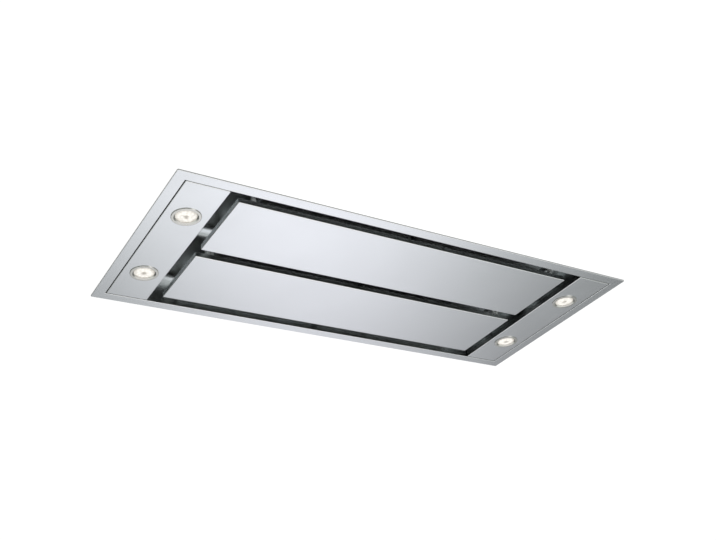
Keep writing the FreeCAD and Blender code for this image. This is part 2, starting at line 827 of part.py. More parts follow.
def make_panel_catches():
    """Spring catches under the tray, each with a slot between two rollers for a tongue."""
    body = new_body("panel_catch_single")
    block = new_sketch(body, "XZ_Plane", "layout.catch_y - dims.catch_depth / 2")
    half, slot = "dims.catch_width / 2", "dims.catch_slot / 2"
    low = "layout.tray_under - dims.catch_drop"
    roof = "layout.face_level + dims.tongue_height + dims.catch_slot / 2"
    outline(block, [
        (f"layout.hinge_x - {half}", low),
        (f"layout.hinge_x - {slot}", low),
        (f"layout.hinge_x - {slot}", roof),
        (f"layout.hinge_x + {slot}", roof),
        (f"layout.hinge_x + {slot}", low),
        (f"layout.hinge_x + {half}", low),
        (f"layout.hinge_x + {half}", "layout.tray_under"),
        (f"layout.hinge_x - {half}", "layout.tray_under"),
    ])
    pad(body, block, "dims.catch_depth")
    reach = "(dims.tongue_sheet / 2 + dims.catch_gap + dims.catch_roller)"
    for step in ("-", "+"):
        roller = new_sketch(body, "XZ_Plane", "layout.catch_y - dims.catch_depth / 2")
        height = f"{low} + 2 * dims.catch_roller"
        circle(roller, f"layout.hinge_x {step} {reach}", height, "dims.catch_roller")
        pad(body, roller, "dims.catch_depth")
    return four_corners("panel_catches", body)


# Grease filters

def make_filter_frame(name, x, turned):
    """A channel frame of thin sheet, with two hooks on its outer edge and room for its latch."""
    body = new_body(name)
    wall = new_sketch(body, "XY_Plane", "layout.filter_under")
    low_y, high_y = "-layout.filter_outer_y", "-layout.filter_inner_y"
    rectangle(wall, "-layout.filter_half_x", "layout.filter_half_x", low_y, high_y)
    rectangle(
        wall, "-layout.filter_half_x + dims.filter_sheet", "layout.filter_half_x - dims.filter_sheet",
        f"{low_y} + dims.filter_sheet", f"{high_y} - dims.filter_sheet",
    )
    pad(body, wall, "dims.filter_height")
    for level in ("layout.filter_under", "layout.filter_over - dims.filter_sheet"):
        lip = new_sketch(body, "XY_Plane", level)
        rectangle(lip, "-layout.filter_half_x", "layout.filter_half_x", low_y, high_y)
        rectangle(
            lip, "-layout.filter_half_x + dims.filter_lip", "layout.filter_half_x - dims.filter_lip",
            f"{low_y} + dims.filter_lip", f"{high_y} - dims.latch_lip",
        )
        pad(body, lip, "dims.filter_sheet")
    hooks = new_sketch(body, "XY_Plane", "layout.tray_over")
    for step in ("-", "+"):
        centre = f"0 {step} dims.tab_spacing / 2"
        rectangle(
            hooks, f"{centre} - dims.tab_width / 2", f"{centre} + dims.tab_width / 2",
            f"{low_y} - dims.tab_reach", f"{low_y} + dims.filter_sheet / 2",
        )
    pad(body, hooks, "dims.tab_sheet")
    finger = new_sketch(body, "XY_Plane", "layout.filter_under")
    pull = "(dims.latch_pull_width / 2 + 2 * dims.latch_play)"
    rectangle(
        finger, f"-{pull}", pull,
        "-layout.latch_space_y + dims.filter_sheet", "-layout.latch_front_y - dims.filter_sheet",
    )
    pocket(body, finger, "dims.filter_sheet")
    gate = new_sketch(body, "XZ_Plane", "layout.filter_inner_y")
    bolt = "(dims.bolt_width / 2 + dims.latch_play)"
    rectangle(
        gate, f"-{bolt}", bolt, "layout.bolt_under - dims.latch_play", "layout.bolt_over + dims.latch_play",
    )
    pocket(body, gate, "dims.filter_sheet")
    place(body, x=x, turned=turned)
    return body


def make_filter_mesh(name, x, turned):
    """A pack of expanded metal held between the lips of the frame: one holed face, raised."""
    half = number("layout.filter_half_x - dims.filter_sheet - dims.mesh_play")
    low_y = -number("layout.filter_outer_y - dims.filter_sheet - dims.mesh_play")
    high_y = -number("layout.latch_space_y + dims.mesh_play")
    under = number("layout.filter_under + dims.filter_sheet")
    over = number("layout.filter_over - dims.filter_sheet - dims.mesh_play")
    columns, rows = int(number("dims.mesh_columns")), int(number("dims.mesh_rows"))
    strand = number("dims.mesh_strand")
    lip = number("dims.filter_lip")
    pitch_x, pitch_y = 2 * (half - lip) / columns, (high_y - low_y - 2 * lip) / rows
    corners = [(-half, low_y), (half, low_y), (half, high_y), (-half, high_y)]
    rim = Part.makePolygon([Vector(px, py, under) for px, py in corners + corners[:1]])
    wires = []
    for column in range(columns):
        for row in range(rows):
            cx = -half + lip + (column + 0.5) * pitch_x
            cy = low_y + lip + (row + 0.5) * pitch_y
            wide, tall = (pitch_x - strand) / 2, (pitch_y - strand) / 2
            diamond = [(cx - wide, cy), (cx, cy - tall), (cx + wide, cy), (cx, cy + tall)]
            wires.append(Part.makePolygon([Vector(px, py, under) for px, py in diamond + diamond[:1]]))
    sheet = Part.makeFace([rim] + wires, "Part::FaceMakerBullseye")
    mesh = doc.addObject("Part::Feature", name)
    mesh.Label = name
    mesh.Shape = sheet.extrude(Vector(0, 0, over - under))
    place(mesh, x=x, turned=turned)
    return mesh


def make_filter_latch(name, x, turned):
    """A sliding latch in the wide rail: block, bolt over the centre rail and a finger pull."""
    body = new_body(name)
    block = new_sketch(body, "XY_Plane", "layout.filter_under + dims.filter_sheet + dims.latch_play")
    rectangle(
        block, "-dims.latch_width / 2", "dims.latch_width / 2",
        "-layout.latch_rear_y", "-layout.latch_front_y",
    )
    pad(body, block, "dims.filter_height - 2 * dims.filter_sheet - 2 * dims.latch_play")
    bolt = new_sketch(body, "XY_Plane", "layout.bolt_under")
    tip = "-layout.filter_inner_y + dims.bolt_reach"
    rectangle(bolt, "-dims.bolt_width / 2", "dims.bolt_width / 2", "-layout.latch_rear_y", tip)
    pad(body, bolt, "dims.bolt_height")
    pull = new_sketch(body, "XY_Plane", "layout.filter_under - dims.latch_pull_drop")
    rectangle(
        pull, "-dims.latch_pull_width / 2", "dims.latch_pull_width / 2",
        "-layout.latch_rear_y + dims.filter_sheet",
        "-layout.latch_rear_y + dims.filter_sheet + dims.latch_pull_sheet",
    )
    pad(body, pull, "dims.latch_pull_drop + dims.filter_height / 2")
    place(body, x=x, turned=turned)
    return body


# Spot lamps, drawn about their own axis with the face of the panel at z = 0

def make_lamp_bezel(name):
    body = new_body(name)
    profile = new_sketch(body, "XZ_Plane")
    edge = "dims.bezel_edge"
    outline(profile, [
        ("dims.bezel_radius", "0"),
        ("dims.bezel_radius", f"-dims.bezel_drop + {edge}", edge, -1),
        (f"dims.bezel_radius - {edge}", "-dims.bezel_drop"),
        ("layout.lens_room + dims.lens_seat", "-dims.bezel_drop"),
        ("dims.lens_radius", "-dims.bezel_drop + dims.bezel_cone"),
        ("dims.lens_radius", "dims.lens_seat"),
        ("layout.lens_room", "dims.lens_seat"),
        ("layout.lens_room", "dims.lamp_depth"),
        ("layout.neck_radius", "dims.lamp_depth"),
        ("layout.neck_radius", "0"),
    ])
    revolve(body, profile)
    return body


def make_lamp_lens(name):
    body = new_body(name)
    profile = new_sketch(body, "XZ_Plane")
    rim, edge = "(layout.lens_room - dims.lamp_play / 2)", "(dims.lens_radius - dims.lamp_play)"
    bulge = f"({edge} ^ 2 + dims.lens_dome ^ 2) / (2 * dims.lens_dome)"
    outline(profile, [
        ("0", "dims.lens_seat - dims.lens_dome", bulge, 1),
        (edge, "dims.lens_seat"),
        (rim, "dims.lens_seat"),
        (rim, "layout.lens_over"),
        ("0", "layout.lens_over"),
    ])
    revolve(body, profile)
    return body


def make_lamp_reflector(name):
    """A bowl of thin metal with a neck for the bulb, standing on the lens."""
    body = new_body(name)
    profile = new_sketch(body, "XZ_Plane")
    rim = "layout.lens_room - dims.lamp_play / 2"
    neck, shell = "dims.reflector_neck", "dims.reflector_sheet"
    bowl = "dims.reflector_curve"
    outline(profile, [
        (rim, "layout.lens_over"),
        (rim, f"layout.lens_over + {shell}", bowl, 1),
        (f"{neck} + {shell}", "layout.reflector_over"),
        (f"{neck} + {shell}", "layout.holder_under"),
        (neck, "layout.holder_under"),
        (neck, f"layout.reflector_over - {shell}", f"{bowl} - {shell}", -1),
        (f"{rim} - 2 * {shell}", "layout.lens_over"),
    ])
    revolve(body, profile)
    return body


def make_lamp_bulb(name):
    """A capsule bulb with two pins, which reach up into its holder."""
    body = new_body(name)
    profile = new_sketch(body, "XZ_Plane")
    top = "layout.holder_under - dims.bulb_gap"
    low = f"{top} - dims.bulb_length"
    outline(profile, [
        ("0", low, "dims.bulb_radius", 1),
        ("dims.bulb_radius", f"{low} + dims.bulb_radius"),
        ("dims.bulb_radius", top),
        ("0", top),
    ])
    revolve(body, profile)
    pins = new_sketch(body, "XY_Plane", top)
    for sign in LEFT_RIGHT.values():
        circle(pins, f"{sign}dims.bulb_pin_spacing / 2", "0", "dims.bulb_pin_radius")
    pad(body, pins, "dims.bulb_pin_length")
    return body


def make_lamp_holder(name):
    body = new_body(name)
    block = new_sketch(body, "XY_Plane", "layout.holder_under")
    circle(block, "0", "0", "dims.holder_radius")
    pad(body, block, "dims.holder_height")
    sockets = new_sketch(body, "XY_Plane", "layout.holder_under")
    for sign in LEFT_RIGHT.values():
        circle(sockets, f"{sign}dims.bulb_pin_spacing / 2", "0", "dims.bulb_pin_radius + dims.pin_running")
    pocket(body, sockets, "dims.bulb_pin_length")
    return body


def lamp_places():
    """Name and place of each lamp."""
    for side, sign_x in LEFT_RIGHT.items():
        for end, sign_y in zip(FRONT_REAR, ("-", "")):
            yield f"{side}_{end}", f"{sign_x}layout.lamp_x", f"{sign_y}dims.lamp_pitch / 2"


def make_lamps():
    """One node for each kind of piece of the four lamps."""
    kinds = {
        "lamp_bezels": make_lamp_bezel,
        "lamp_lenses": make_lamp_lens,
        "lamp_reflectors": make_lamp_reflector,
        "lamp_bulbs": make_lamp_bulb,
        "lamp_holders": make_lamp_holder,
    }
    singles = {kind: [] for kind in kinds}
    for where, x, y in lamp_places():
        for kind, make in kinds.items():
            body = make(f"{where}_{kind}_single")
            place(body, x, y, "layout.face_level")
            singles[kind].append(body)
    return [group(kind, items) for kind, items in singles.items()]


# Blower

def make_inlet_ring():
    """Bellmouth in the roof of the plenum that leads the air into the wheel."""
    body = new_body("inlet_ring")
    profile = new_sketch(body, "XZ_Plane")
    sheet, top = "dims.ring_sheet", "dims.wheel_lift + dims.throat_lap"
    outline(profile, [
        ("layout.ring_radius + dims.ring_flange", f"-{sheet}"),
        ("layout.ring_radius + dims.ring_flange", "0"),
        ("layout.ring_radius", "0", "dims.ring_bend", -1),
        ("layout.throat_outer", "dims.ring_bend"),
        ("layout.throat_outer", top),
        ("dims.throat_radius", top),
        ("dims.throat_radius", "dims.ring_bend", f"dims.ring_bend + {sheet}", 1),
        ("layout.ring_radius", f"-{sheet}"),
    ])
    revolve(body, profile)
    place(body, z="layout.blower_base")
    return body


def spiral_outline(sketch, inset):
    """The blower's spiral: three quarter arcs of growing radius that run on into a straight outlet."""
    shift, step, radius = "layout.spiral_shift", "dims.scroll_step", "dims.scroll_radius"
    first, second, third = (f"{radius} + {turns} * {step} - {inset}" for turns in range(3))
    outline(sketch, [
        (f"-{shift}", f"layout.spiral_start - {inset}", first, 1),
        (f"-{shift} - ({first})", f"-{shift}", second, 1),
        (shift, f"-{shift} - ({second})", third, 1),
        (f"{shift} + {third}", shift),
        (f"{shift} + {third}", "dims.outlet_reach"),
        (f"dims.tongue_offset + {inset}", "dims.outlet_reach"),
        (f"dims.tongue_offset + {inset}", f"layout.spiral_start - {inset}"),
    ])


def make_scroll_base():
    """Lower side plate of the scroll, with a flange for its screws and a hole for the inlet ring."""
    body = new_body("scroll_base")
    plate = new_sketch(body, "XY_Plane", "layout.blower_base")
    rectangle(
        plate, "layout.scroll_left_x", "layout.scroll_right_x", "layout.scroll_front_y", "dims.outlet_reach",
    )
    circle(plate, "0", "0", "layout.ring_radius + dims.ring_sheet")
    pad(body, plate, "dims.scroll_sheet")
    drill(body, scroll_screw_points(), "layout.blower_base", "dims.scroll_sheet")
    return body


def make_scroll_wrap():
    """Strip of sheet bent to the spiral, open at its outlet."""
    body = new_body("scroll_wrap")
    level = "layout.blower_base + dims.scroll_sheet"
    shell = new_sketch(body, "XY_Plane", level)
    spiral_outline(shell, "0")
    pad(body, shell, "dims.scroll_height - 2 * dims.scroll_sheet")
    room = new_sketch(body, "XY_Plane", level)
    spiral_outline(room, "dims.scroll_sheet")
    pocket(body, room, "dims.scroll_height - 2 * dims.scroll_sheet")
    return body


def make_scroll_top():
    """Upper side plate of the scroll, with a hole for the motor."""
    body = new_body("scroll_top")
    plate = new_sketch(body, "XY_Plane", "layout.blower_over - dims.scroll_sheet")
    spiral_outline(plate, "0")
    circle(plate, "0", "0", "dims.motor_radius + dims.motor_play")
    pad(body, plate, "dims.scroll_sheet")
    return body


def make_wheel_plate():
    """Back plate of the blower wheel, with the hub that holds the shaft."""
    body = new_body("wheel_plate")
    profile = new_sketch(body, "XZ_Plane")
    under, over = "layout.wheel_height - dims.wheel_plate", "layout.wheel_height"
    bore = "dims.shaft_radius + dims.pin_seat"
    outline(profile, [
        (bore, f"{over} - dims.hub_height"),
        ("dims.hub_radius", f"{over} - dims.hub_height"),
        ("dims.hub_radius", under),
        ("dims.wheel_radius", under),
        ("dims.wheel_radius", over),
        (bore, over),
    ])
    revolve(body, profile)
    place(body, z="layout.wheel_under")
    return body


def make_wheel_blades():
    """Forward-curved blades that stand between the ring and the back plate of the wheel."""
    body = new_body("wheel_blades")
    body.AllowCompound = True
    blade = new_sketch(body, "XY_Plane", "dims.wheel_plate")
    lean, curve, sheet = "dims.blade_lean", "dims.blade_curve", "dims.blade_sheet"
    inner, outer = "layout.blade_inner", "dims.wheel_radius - dims.blade_sheet"
    outline(blade, [
        (inner, "0", curve, 1),
        (outer, lean),
        (outer, f"{lean} + {sheet}", f"{curve} + {sheet}", -1),
        (inner, sheet),
    ])
    single = pad(body, blade, "layout.wheel_height - 2 * dims.wheel_plate")
    polar(body, single, "dims.blade_count")
    place(body, z="layout.wheel_under")
    return body


def make_wheel_ring():
    """Ring that joins the blades on the inlet side of the wheel."""
    body = new_body("wheel_ring")
    ring = new_sketch(body, "XY_Plane")
    circle(ring, "0", "0", "dims.wheel_radius")
    circle(ring, "0", "0", "layout.blade_inner")
    pad(body, ring, "dims.wheel_plate")
    place(body, z="layout.wheel_under")
    return body


def make_motor_shaft():
    body = new_body("motor_shaft")
    round_bar = new_sketch(body, "XY_Plane", "layout.wheel_over - dims.hub_height")
    circle(round_bar, "0", "0", "dims.shaft_radius")
    pad(body, round_bar, "dims.hub_height + dims.motor_gap + dims.hub_height")
    return body


def make_motor():
    """Motor hung through the top of the scroll on a flange, with a domed, slotted end cap."""
    body = new_body("motor")
    profile = new_sketch(body, "XZ_Plane")
    bore, bearing = "dims.shaft_radius + dims.pin_running", "layout.motor_under + dims.hub_height"
    edge = "dims.motor_edge"
    outline(profile, [
        (bore, "layout.motor_under"),
        (f"dims.motor_radius - {edge}", "layout.motor_under", edge, 1),
        ("dims.motor_radius", f"layout.motor_under + {edge}"),
        ("dims.motor_radius", "layout.motor_seat"),
        ("dims.motor_flange", "layout.motor_seat"),
        ("dims.motor_flange", "layout.motor_seat + dims.motor_plate"),
        ("dims.motor_radius", "layout.motor_seat + dims.motor_plate"),
        ("dims.motor_radius", f"layout.motor_over - {edge}", edge, 1),
        (f"dims.motor_radius - {edge}", "layout.motor_over"),
        ("0", "layout.motor_over"),
        ("0", f"{bearing} + dims.motor_gap"),
        (bore, f"{bearing} + dims.motor_gap"),
    ])
    revolve(body, profile)
    slot = new_sketch(body, "XY_Plane", "layout.motor_over - dims.motor_rise / 2")
    half = "dims.motor_slot_width / 2"
    rectangle(slot, "dims.motor_slot_inner", "dims.motor_slot_outer", f"-{half}", half)
    cut = pocket(body, slot, "dims.motor_rise")
    polar(body, cut, "dims.motor_slot_count")
    return body


def make_motor_grommets():
    """Four rubber feet between the motor flange and the scroll."""
    body = new_body("grommet_single")
    foot = new_sketch(body, "XY_Plane", "layout.blower_over")
    reach = "dims.grommet_circle * sqrt(0.5)"
    circle(foot, reach, reach, "dims.grommet_radius")
    pad(body, foot, "dims.grommet_height")
    return four_corners("motor_grommets", body)


def make_outlet_transition():
    """Sheet metal duct that changes from the scroll's square outlet to the round collar."""
    body = new_body("outlet_transition")
    for kind, inset in (("AdditiveLoft", "0"), ("SubtractiveLoft", "dims.scroll_sheet")):
        square = new_sketch(body, "XZ_Plane", "-dims.outlet_reach")
        rectangle(
            square, f"dims.tongue_offset + {inset}", f"layout.outlet_outer_x - {inset}",
            f"layout.blower_base + {inset}", f"layout.blower_over - {inset}",
        )
        ring = new_sketch(body, "XZ_Plane", "-layout.collar_base")
        radius = f"layout.collar_bore + dims.scroll_sheet - {inset}"
        reach = f"({radius}) * sqrt(0.5)"
        signs = (("-", "-"), ("+", "-"), ("+", "+"), ("-", "+"))
        outline(ring, [
            (f"layout.outlet_x {x} {reach}", f"layout.collar_level {z} {reach}", radius, 1) for x, z in signs
        ])
        loft = body.newObject(f"PartDesign::{kind}", f"{body.Label}_loft")
        loft.Profile = square
        loft.Sections = [ring]
        loft.Ruled = True
        body.Tip = loft
        doc.recompute()
    return body


def make_outlet_collar():
    """Round spigot for the duct, with a stop ledge for the flaps and two bosses for their spindle."""
    body = new_body("outlet_collar")
    flange = new_sketch(body, "XY_Plane")
    circle(flange, "0", "0", "dims.collar_radius + dims.collar_flange")
    circle(flange, "0", "0", "layout.collar_bore")
    pad(body, flange, "dims.collar_sheet")
    tube = new_sketch(body, "XY_Plane")
    circle(tube, "0", "0", "dims.collar_radius")
    circle(tube, "0", "0", "layout.collar_bore")
    pad(body, tube, "dims.collar_length")
    ledge = new_sketch(body, "XY_Plane")
    circle(ledge, "0", "0", "dims.collar_radius")
    circle(ledge, "0", "0", "layout.collar_bore - dims.flap_stop")
    pad(body, ledge, "dims.spindle_inset - dims.flap_sheet / 2 - dims.flap_rest")
    for low in ("layout.collar_bore - dims.boss_length", "-layout.collar_bore"):
        boss = new_sketch(body, "XZ_Plane", low)
        circle(boss, "0", "dims.spindle_inset", "dims.boss_radius")
        pad(body, boss, "dims.boss_length")
        hole = new_sketch(body, "XZ_Plane", low)
        circle(hole, "0", "dims.spindle_inset", "dims.spindle_radius + dims.pin_seat")
        pocket(body, hole, "dims.boss_length")
    stand_in_duct(body)
    return body


def stand_in_duct(body):
    """Turns a piece drawn along the duct to face the rear: its z axis becomes +Y and its y axis -Z."""
    body.Placement = Placement(Vector(), Rotation(Vector(1, 0, 0), -90))
    place(body, "layout.outlet_x", "layout.collar_base", "layout.collar_level")


def make_damper_spindle():
    body = new_body("damper_spindle")
    rod = new_sketch(body, "XZ_Plane")
    circle(rod, "0", "dims.spindle_inset", "dims.spindle_radius")
    pad(body, rod, "2 * layout.spindle_half", symmetric=True)
    stand_in_duct(body)
    return body


def make_damper_flap(name, sign, knuckles):
    """A half disc with hinge knuckles on the spindle: sign tells its side of the duct."""
    body = new_body(name)
    for middle, length in knuckles:
        barrel = new_sketch(body, "XZ_Plane", f"{middle} - {length} / 2")
        circle(barrel, "0", "dims.spindle_inset", "dims.knuckle_radius")
        pad(body, barrel, length)
        web = new_sketch(body, "XZ_Plane", f"{middle} - {length} / 2")
        inner, outer = f"{sign}dims.spindle_radius * 1.5", f"{sign}layout.flap_edge * 1.5"
        low, high = (outer, inner) if sign else (inner, outer)
        half = "dims.flap_sheet / 2"
        rectangle(web, low, high, f"dims.spindle_inset - {half}", f"dims.spindle_inset + {half}")
        pad(body, web, length)
    blade = new_sketch(body, "XY_Plane", "dims.spindle_inset - dims.flap_sheet / 2")
    edge = f"{sign}layout.flap_edge"
    rise = "sqrt(layout.flap_radius ^ 2 - layout.flap_edge ^ 2)"
    start, end = (f"-{rise}", rise) if not sign else (rise, f"-{rise}")
    outline(blade, [
        (edge, start, "layout.flap_radius", 1),
        (f"{sign}layout.flap_radius", "0", "layout.flap_radius", 1),
        (edge, end),
    ])
    pad(body, blade, "dims.flap_sheet")
    for middle, length in knuckles:
        bore = new_sketch(body, "XZ_Plane", f"{middle} - {length} / 2")
        circle(bore, "0", "dims.spindle_inset", "dims.spindle_radius + dims.pin_running")
        pocket(body, bore, length)
    stand_in_duct(body)
    return body


def make_damper_flaps():
    length = "dims.knuckle_length"
    side = f"({length} + dims.knuckle_gap)"
    return [
        make_damper_flap("damper_flap_left", "-", [(f"-{side}", length), (side, length)]),
        make_damper_flap("damper_flap_right", "", [("0", length)]),
    ]


# Electrical parts

def box_half(size):
    return f"dims.{size} / 2"


def make_control_box():
    """Open moulded box on the roof of the plenum, with a hole for the cable gland."""
    body = new_body("control_box")
    outside = new_sketch(body, "XY_Plane")
    centred(outside, box_half("box_length"), box_half("box_width"))
    pad(body, outside, "dims.box_height")
    inside = new_sketch(body, "XY_Plane", "dims.box_sheet")
    centred(inside, "dims.box_length / 2 - dims.box_sheet", "dims.box_width / 2 - dims.box_sheet")
    pocket(body, inside, "dims.box_height")
    fillet(body, "dims.box_corner", lambda middle, edge: is_upright(edge))
    hole = new_sketch(body, "YZ_Plane", "-dims.box_length / 2")
    circle(hole, "0", "dims.box_height / 2", "dims.gland_radius + dims.gland_play")
    pocket(body, hole, "dims.box_sheet")
    place(body, x="-layout.box_centre_x", z="layout.box_base")
    return body


def make_control_box_lid():
    """Lid whose turned-down lip fits inside the box."""
    body = new_body("control_box_lid")
    sheet = new_sketch(body, "XY_Plane")
    centred(sheet, box_half("box_length"), box_half("box_width"))
    pad(body, sheet, "dims.box_sheet")
    lip = new_sketch(body, "XY_Plane")
    play = "dims.box_sheet + dims.lid_play"
    centred(lip, f"dims.box_length / 2 - ({play})", f"dims.box_width / 2 - ({play})")
    inner = f"{play} + dims.box_sheet"
    centred(lip, f"dims.box_length / 2 - ({inner})", f"dims.box_width / 2 - ({inner})")
    pad(body, lip, "dims.lid_lip", downwards=True)
    fillet(body, "dims.box_corner", lambda middle, edge: is_upright(edge))
    fillet(body, "dims.box_sheet / 2", lambda middle, edge: near(middle.z, "dims.box_sheet"))
    place(body, x="-layout.box_centre_x", z="layout.box_over")
    return body


def make_lamp_driver():
    """Power supply of the lamps, on the floor of the control box, with its two fixing ears."""
    body = new_body("lamp_driver")
    ears = new_sketch(body, "XY_Plane", "dims.box_sheet")
    centred(ears, "dims.driver_length / 2 + dims.foot_length", "dims.driver_width / 4")
    pad(body, ears, "dims.foot_sheet")
    case = new_sketch(body, "XY_Plane", "dims.box_sheet")
    centred(case, box_half("driver_length"), box_half("driver_width"))
    pad(body, case, "dims.driver_height")
    top = "dims.box_sheet + dims.driver_height"
    fillet(body, "dims.foot_sheet", lambda middle, edge: near(middle.z, top))
    place(body, x="-layout.box_centre_x", y="dims.box_width / 4 - dims.box_sheet", z="layout.box_base")
    return body


def make_terminal_block():
    """Terminal strip with a well for each wire."""
    body = new_body("terminal_block")
    block = new_sketch(body, "XY_Plane", "dims.box_sheet")
    centred(block, box_half("terminal_length"), box_half("terminal_width"))
    pad(body, block, "dims.terminal_height")
    wells = new_sketch(body, "XY_Plane", "dims.box_sheet + dims.terminal_height / 2")
    ways = int(number("dims.terminal_ways"))
    for way in range(ways):
        x = f"dims.terminal_length * {(way + 0.5)} / dims.terminal_ways - dims.terminal_length / 2"
        circle(wells, x, "0", "dims.terminal_length / dims.terminal_ways / 4")
    pocket(body, wells, "dims.terminal_height")
    place(body, x="-layout.box_centre_x", y="-dims.box_width / 4", z="layout.box_base")
    return body


def make_control_board():
    """Board of the remote control's receiver on four posts, with its two relays."""
    body = new_body("control_board")
    right, front = "dims.box_length / 2 - dims.board_inset", "-dims.box_width / 2 + dims.board_inset"
    left, rear = f"{right} - dims.board_length", f"{front} + dims.board_width"
    level = "dims.box_sheet + dims.board_lift"
    plate = new_sketch(body, "XY_Plane", level)
    rectangle(plate, left, right, front, rear)
    pad(body, plate, "dims.board_sheet")
    posts = new_sketch(body, "XY_Plane", "dims.box_sheet")
    for x in (f"{left} + dims.post_radius", f"{right} - dims.post_radius"):
        for y in (f"{front} + dims.post_radius", f"{rear} - dims.post_radius"):
            circle(posts, x, y, "dims.post_radius")
    pad(body, posts, "dims.board_lift + dims.board_sheet / 2")
    relays = new_sketch(body, "XY_Plane", level)
    for share in ("1 / 4", "3 / 4"):
        middle = f"({left} + dims.board_length * {share})"
        rectangle(
            relays, f"{middle} - dims.relay_width / 2", f"{middle} + dims.relay_width / 2",
            f"{rear} - 2 * dims.post_radius - dims.relay_length", f"{rear} - 2 * dims.post_radius",
        )
    pad(body, relays, "dims.board_sheet + dims.relay_height")
    place(body, x="-layout.box_centre_x", z="layout.box_base")
    return body


def make_cable_gland():
    """Gland in the box wall, drawn along its axis: lock nut inside, hexagon and cap outside."""
    body = new_body("cable_gland")
    shank = new_sketch(body, "XY_Plane", "-dims.box_sheet")
    circle(shank, "0", "0", "dims.gland_radius")
    pad(body, shank, "dims.box_sheet")
    for level, downwards in (("-dims.box_sheet", True), ("0", False)):
        nut = new_sketch(body, "XY_Plane", level)
        point, flat, half = (f"dims.gland_across * {share}" for share in ("tan(30)", "0.5", "tan(30) / 2"))
        outline(nut, [
            (point, "0"), (half, flat), (f"-{half}", flat), (f"-{point}", "0"), (f"-{half}", f"-{flat}"),
            (half, f"-{flat}"),
        ])
        pad(body, nut, "dims.gland_nut", downwards=downwards)
    cap = new_sketch(body, "XY_Plane", "dims.gland_nut")
    circle(cap, "0", "0", "dims.gland_across / 2 - dims.gland_nut / 4")
    pad(body, cap, "dims.gland_length - dims.gland_nut")
    fillet(body, "dims.gland_nut / 2", lambda middle, edge: near(middle.z, "dims.gland_length"))
    bore = new_sketch(body, "XY_Plane", "-dims.box_sheet - dims.gland_nut")
    circle(bore, "0", "0", "dims.gland_bore")
    pocket(body, bore, "dims.gland_length + dims.gland_nut + dims.box_sheet")
    body.Placement = Placement(Vector(), Rotation(Vector(0, 1, 0), -90))
    left_side = "-layout.box_centre_x - dims.box_length / 2"
    place(body, x=left_side, z="layout.box_base + dims.box_height / 2")
    return body


def make_capacitor():
    """Round motor capacitor that stands on the roof of the plenum."""
    body = new_body("capacitor")
    profile = new_sketch(body, "XZ_Plane")
    radius, height, edge = "dims.capacitor_radius", "dims.capacitor_height", "dims.capacitor_radius / 5"
    outline(profile, [
        ("0", "0"),
        (radius, "0"),
        (radius, f"{height} - {edge}", edge, 1),
        (f"{radius} - {edge}", height),
        (f"{radius} / 2", height),
        (f"{radius} / 2", f"{height} - {edge} / 2"),
        ("0", f"{height} - {edge} / 2"),
    ])
    revolve(body, profile)
    place(body, "-dims.capacitor_x", "-dims.capacitor_y", "dims.body_height")
    return body


# Fixings

def make_hanger_brackets():
    """Z brackets on the roof of the plenum, each with a hole for a threaded rod."""
    body = new_body("hanger_bracket_single")
    profile = new_sketch(body, "XZ_Plane", "layout.rod_y")
    sheet, low, high = "dims.hanger_sheet", "dims.body_height", "layout.hanger_over"
    riser, end = "layout.hanger_riser_x", "layout.hanger_riser_x + dims.hanger_shelf"
    outline(profile, [
        ("layout.hanger_base_x", low),
        (f"{riser} + {sheet}", low),
        (f"{riser} + {sheet}", f"{high} - {sheet}"),
        (end, f"{high} - {sheet}"),
        (end, high),
        (riser, high),
        (riser, f"{low} + {sheet}"),
        ("layout.hanger_base_x", f"{low} + {sheet}"),
    ])
    pad(body, profile, "dims.hanger_width", symmetric=True)
    rod = new_sketch(body, "XY_Plane", f"{high} - {sheet}")
    circle(rod, "layout.rod_x", "-layout.rod_y", "dims.hanger_hole")
    pocket(body, rod, sheet)
    reach = "dims.hanger_screw_pitch / 2"
    points = [("layout.hanger_screw_x", f"-(layout.rod_y {step} {reach})") for step in ("-", "+")]
    drill(body, points, low, sheet)
    return four_corners("hanger_brackets", body)


def make_screw(name, x, y, seat):
    """A pan head screw that stands on its seat."""
    body = new_body(name)
    profile = new_sketch(body, "XZ_Plane")
    head, edge = "dims.screw_head", "dims.screw_head_height / 2"
    outline(profile, [
        ("0", "-dims.screw_length"),
        ("dims.screw_radius", "-dims.screw_length"),
        ("dims.screw_radius", "0"),
        (head, "0"),
        (head, edge, edge, 1),
        (f"{head} - {edge}", "dims.screw_head_height"),
        ("0", "dims.screw_head_height"),
    ])
    revolve(body, profile)
    place(body, x, y, seat)
    return body


def make_body_screws():
    seats = [(points, "dims.body_height + dims.scroll_sheet") for points in scroll_screw_points()]
    seats += [(points, "dims.body_height + dims.hanger_sheet") for points in hanger_screw_points()]
    screws = [
        make_screw(f"screw_{index}", x, y, seat) for index, ((x, y), seat) in enumerate(seats, 1)
    ]
    return group("body_screws", screws)


def make_filters():
    nodes = []
    for end in FRONT_REAR:
        turned = end == "rear"
        for side, sign in LEFT_RIGHT.items():
            for piece, make in (
                ("frame", make_filter_frame), ("mesh", make_filter_mesh), ("latch", make_filter_latch),
            ):
                nodes.append(make(f"{end}_{side}_filter_{piece}", f"{sign}layout.filter_x", turned))
    return nodes


def make_panels():
    nodes = []
    for end in FRONT_REAR:
        turned = end == "rear"
        nodes.append(make_suction_panel(f"{end}_panel", turned))
        nodes.append(make_hinge_arms(f"{end}_hinge_arms", turned))
        nodes.append(make_strikers(f"{end}_strikers", turned))
    return nodes


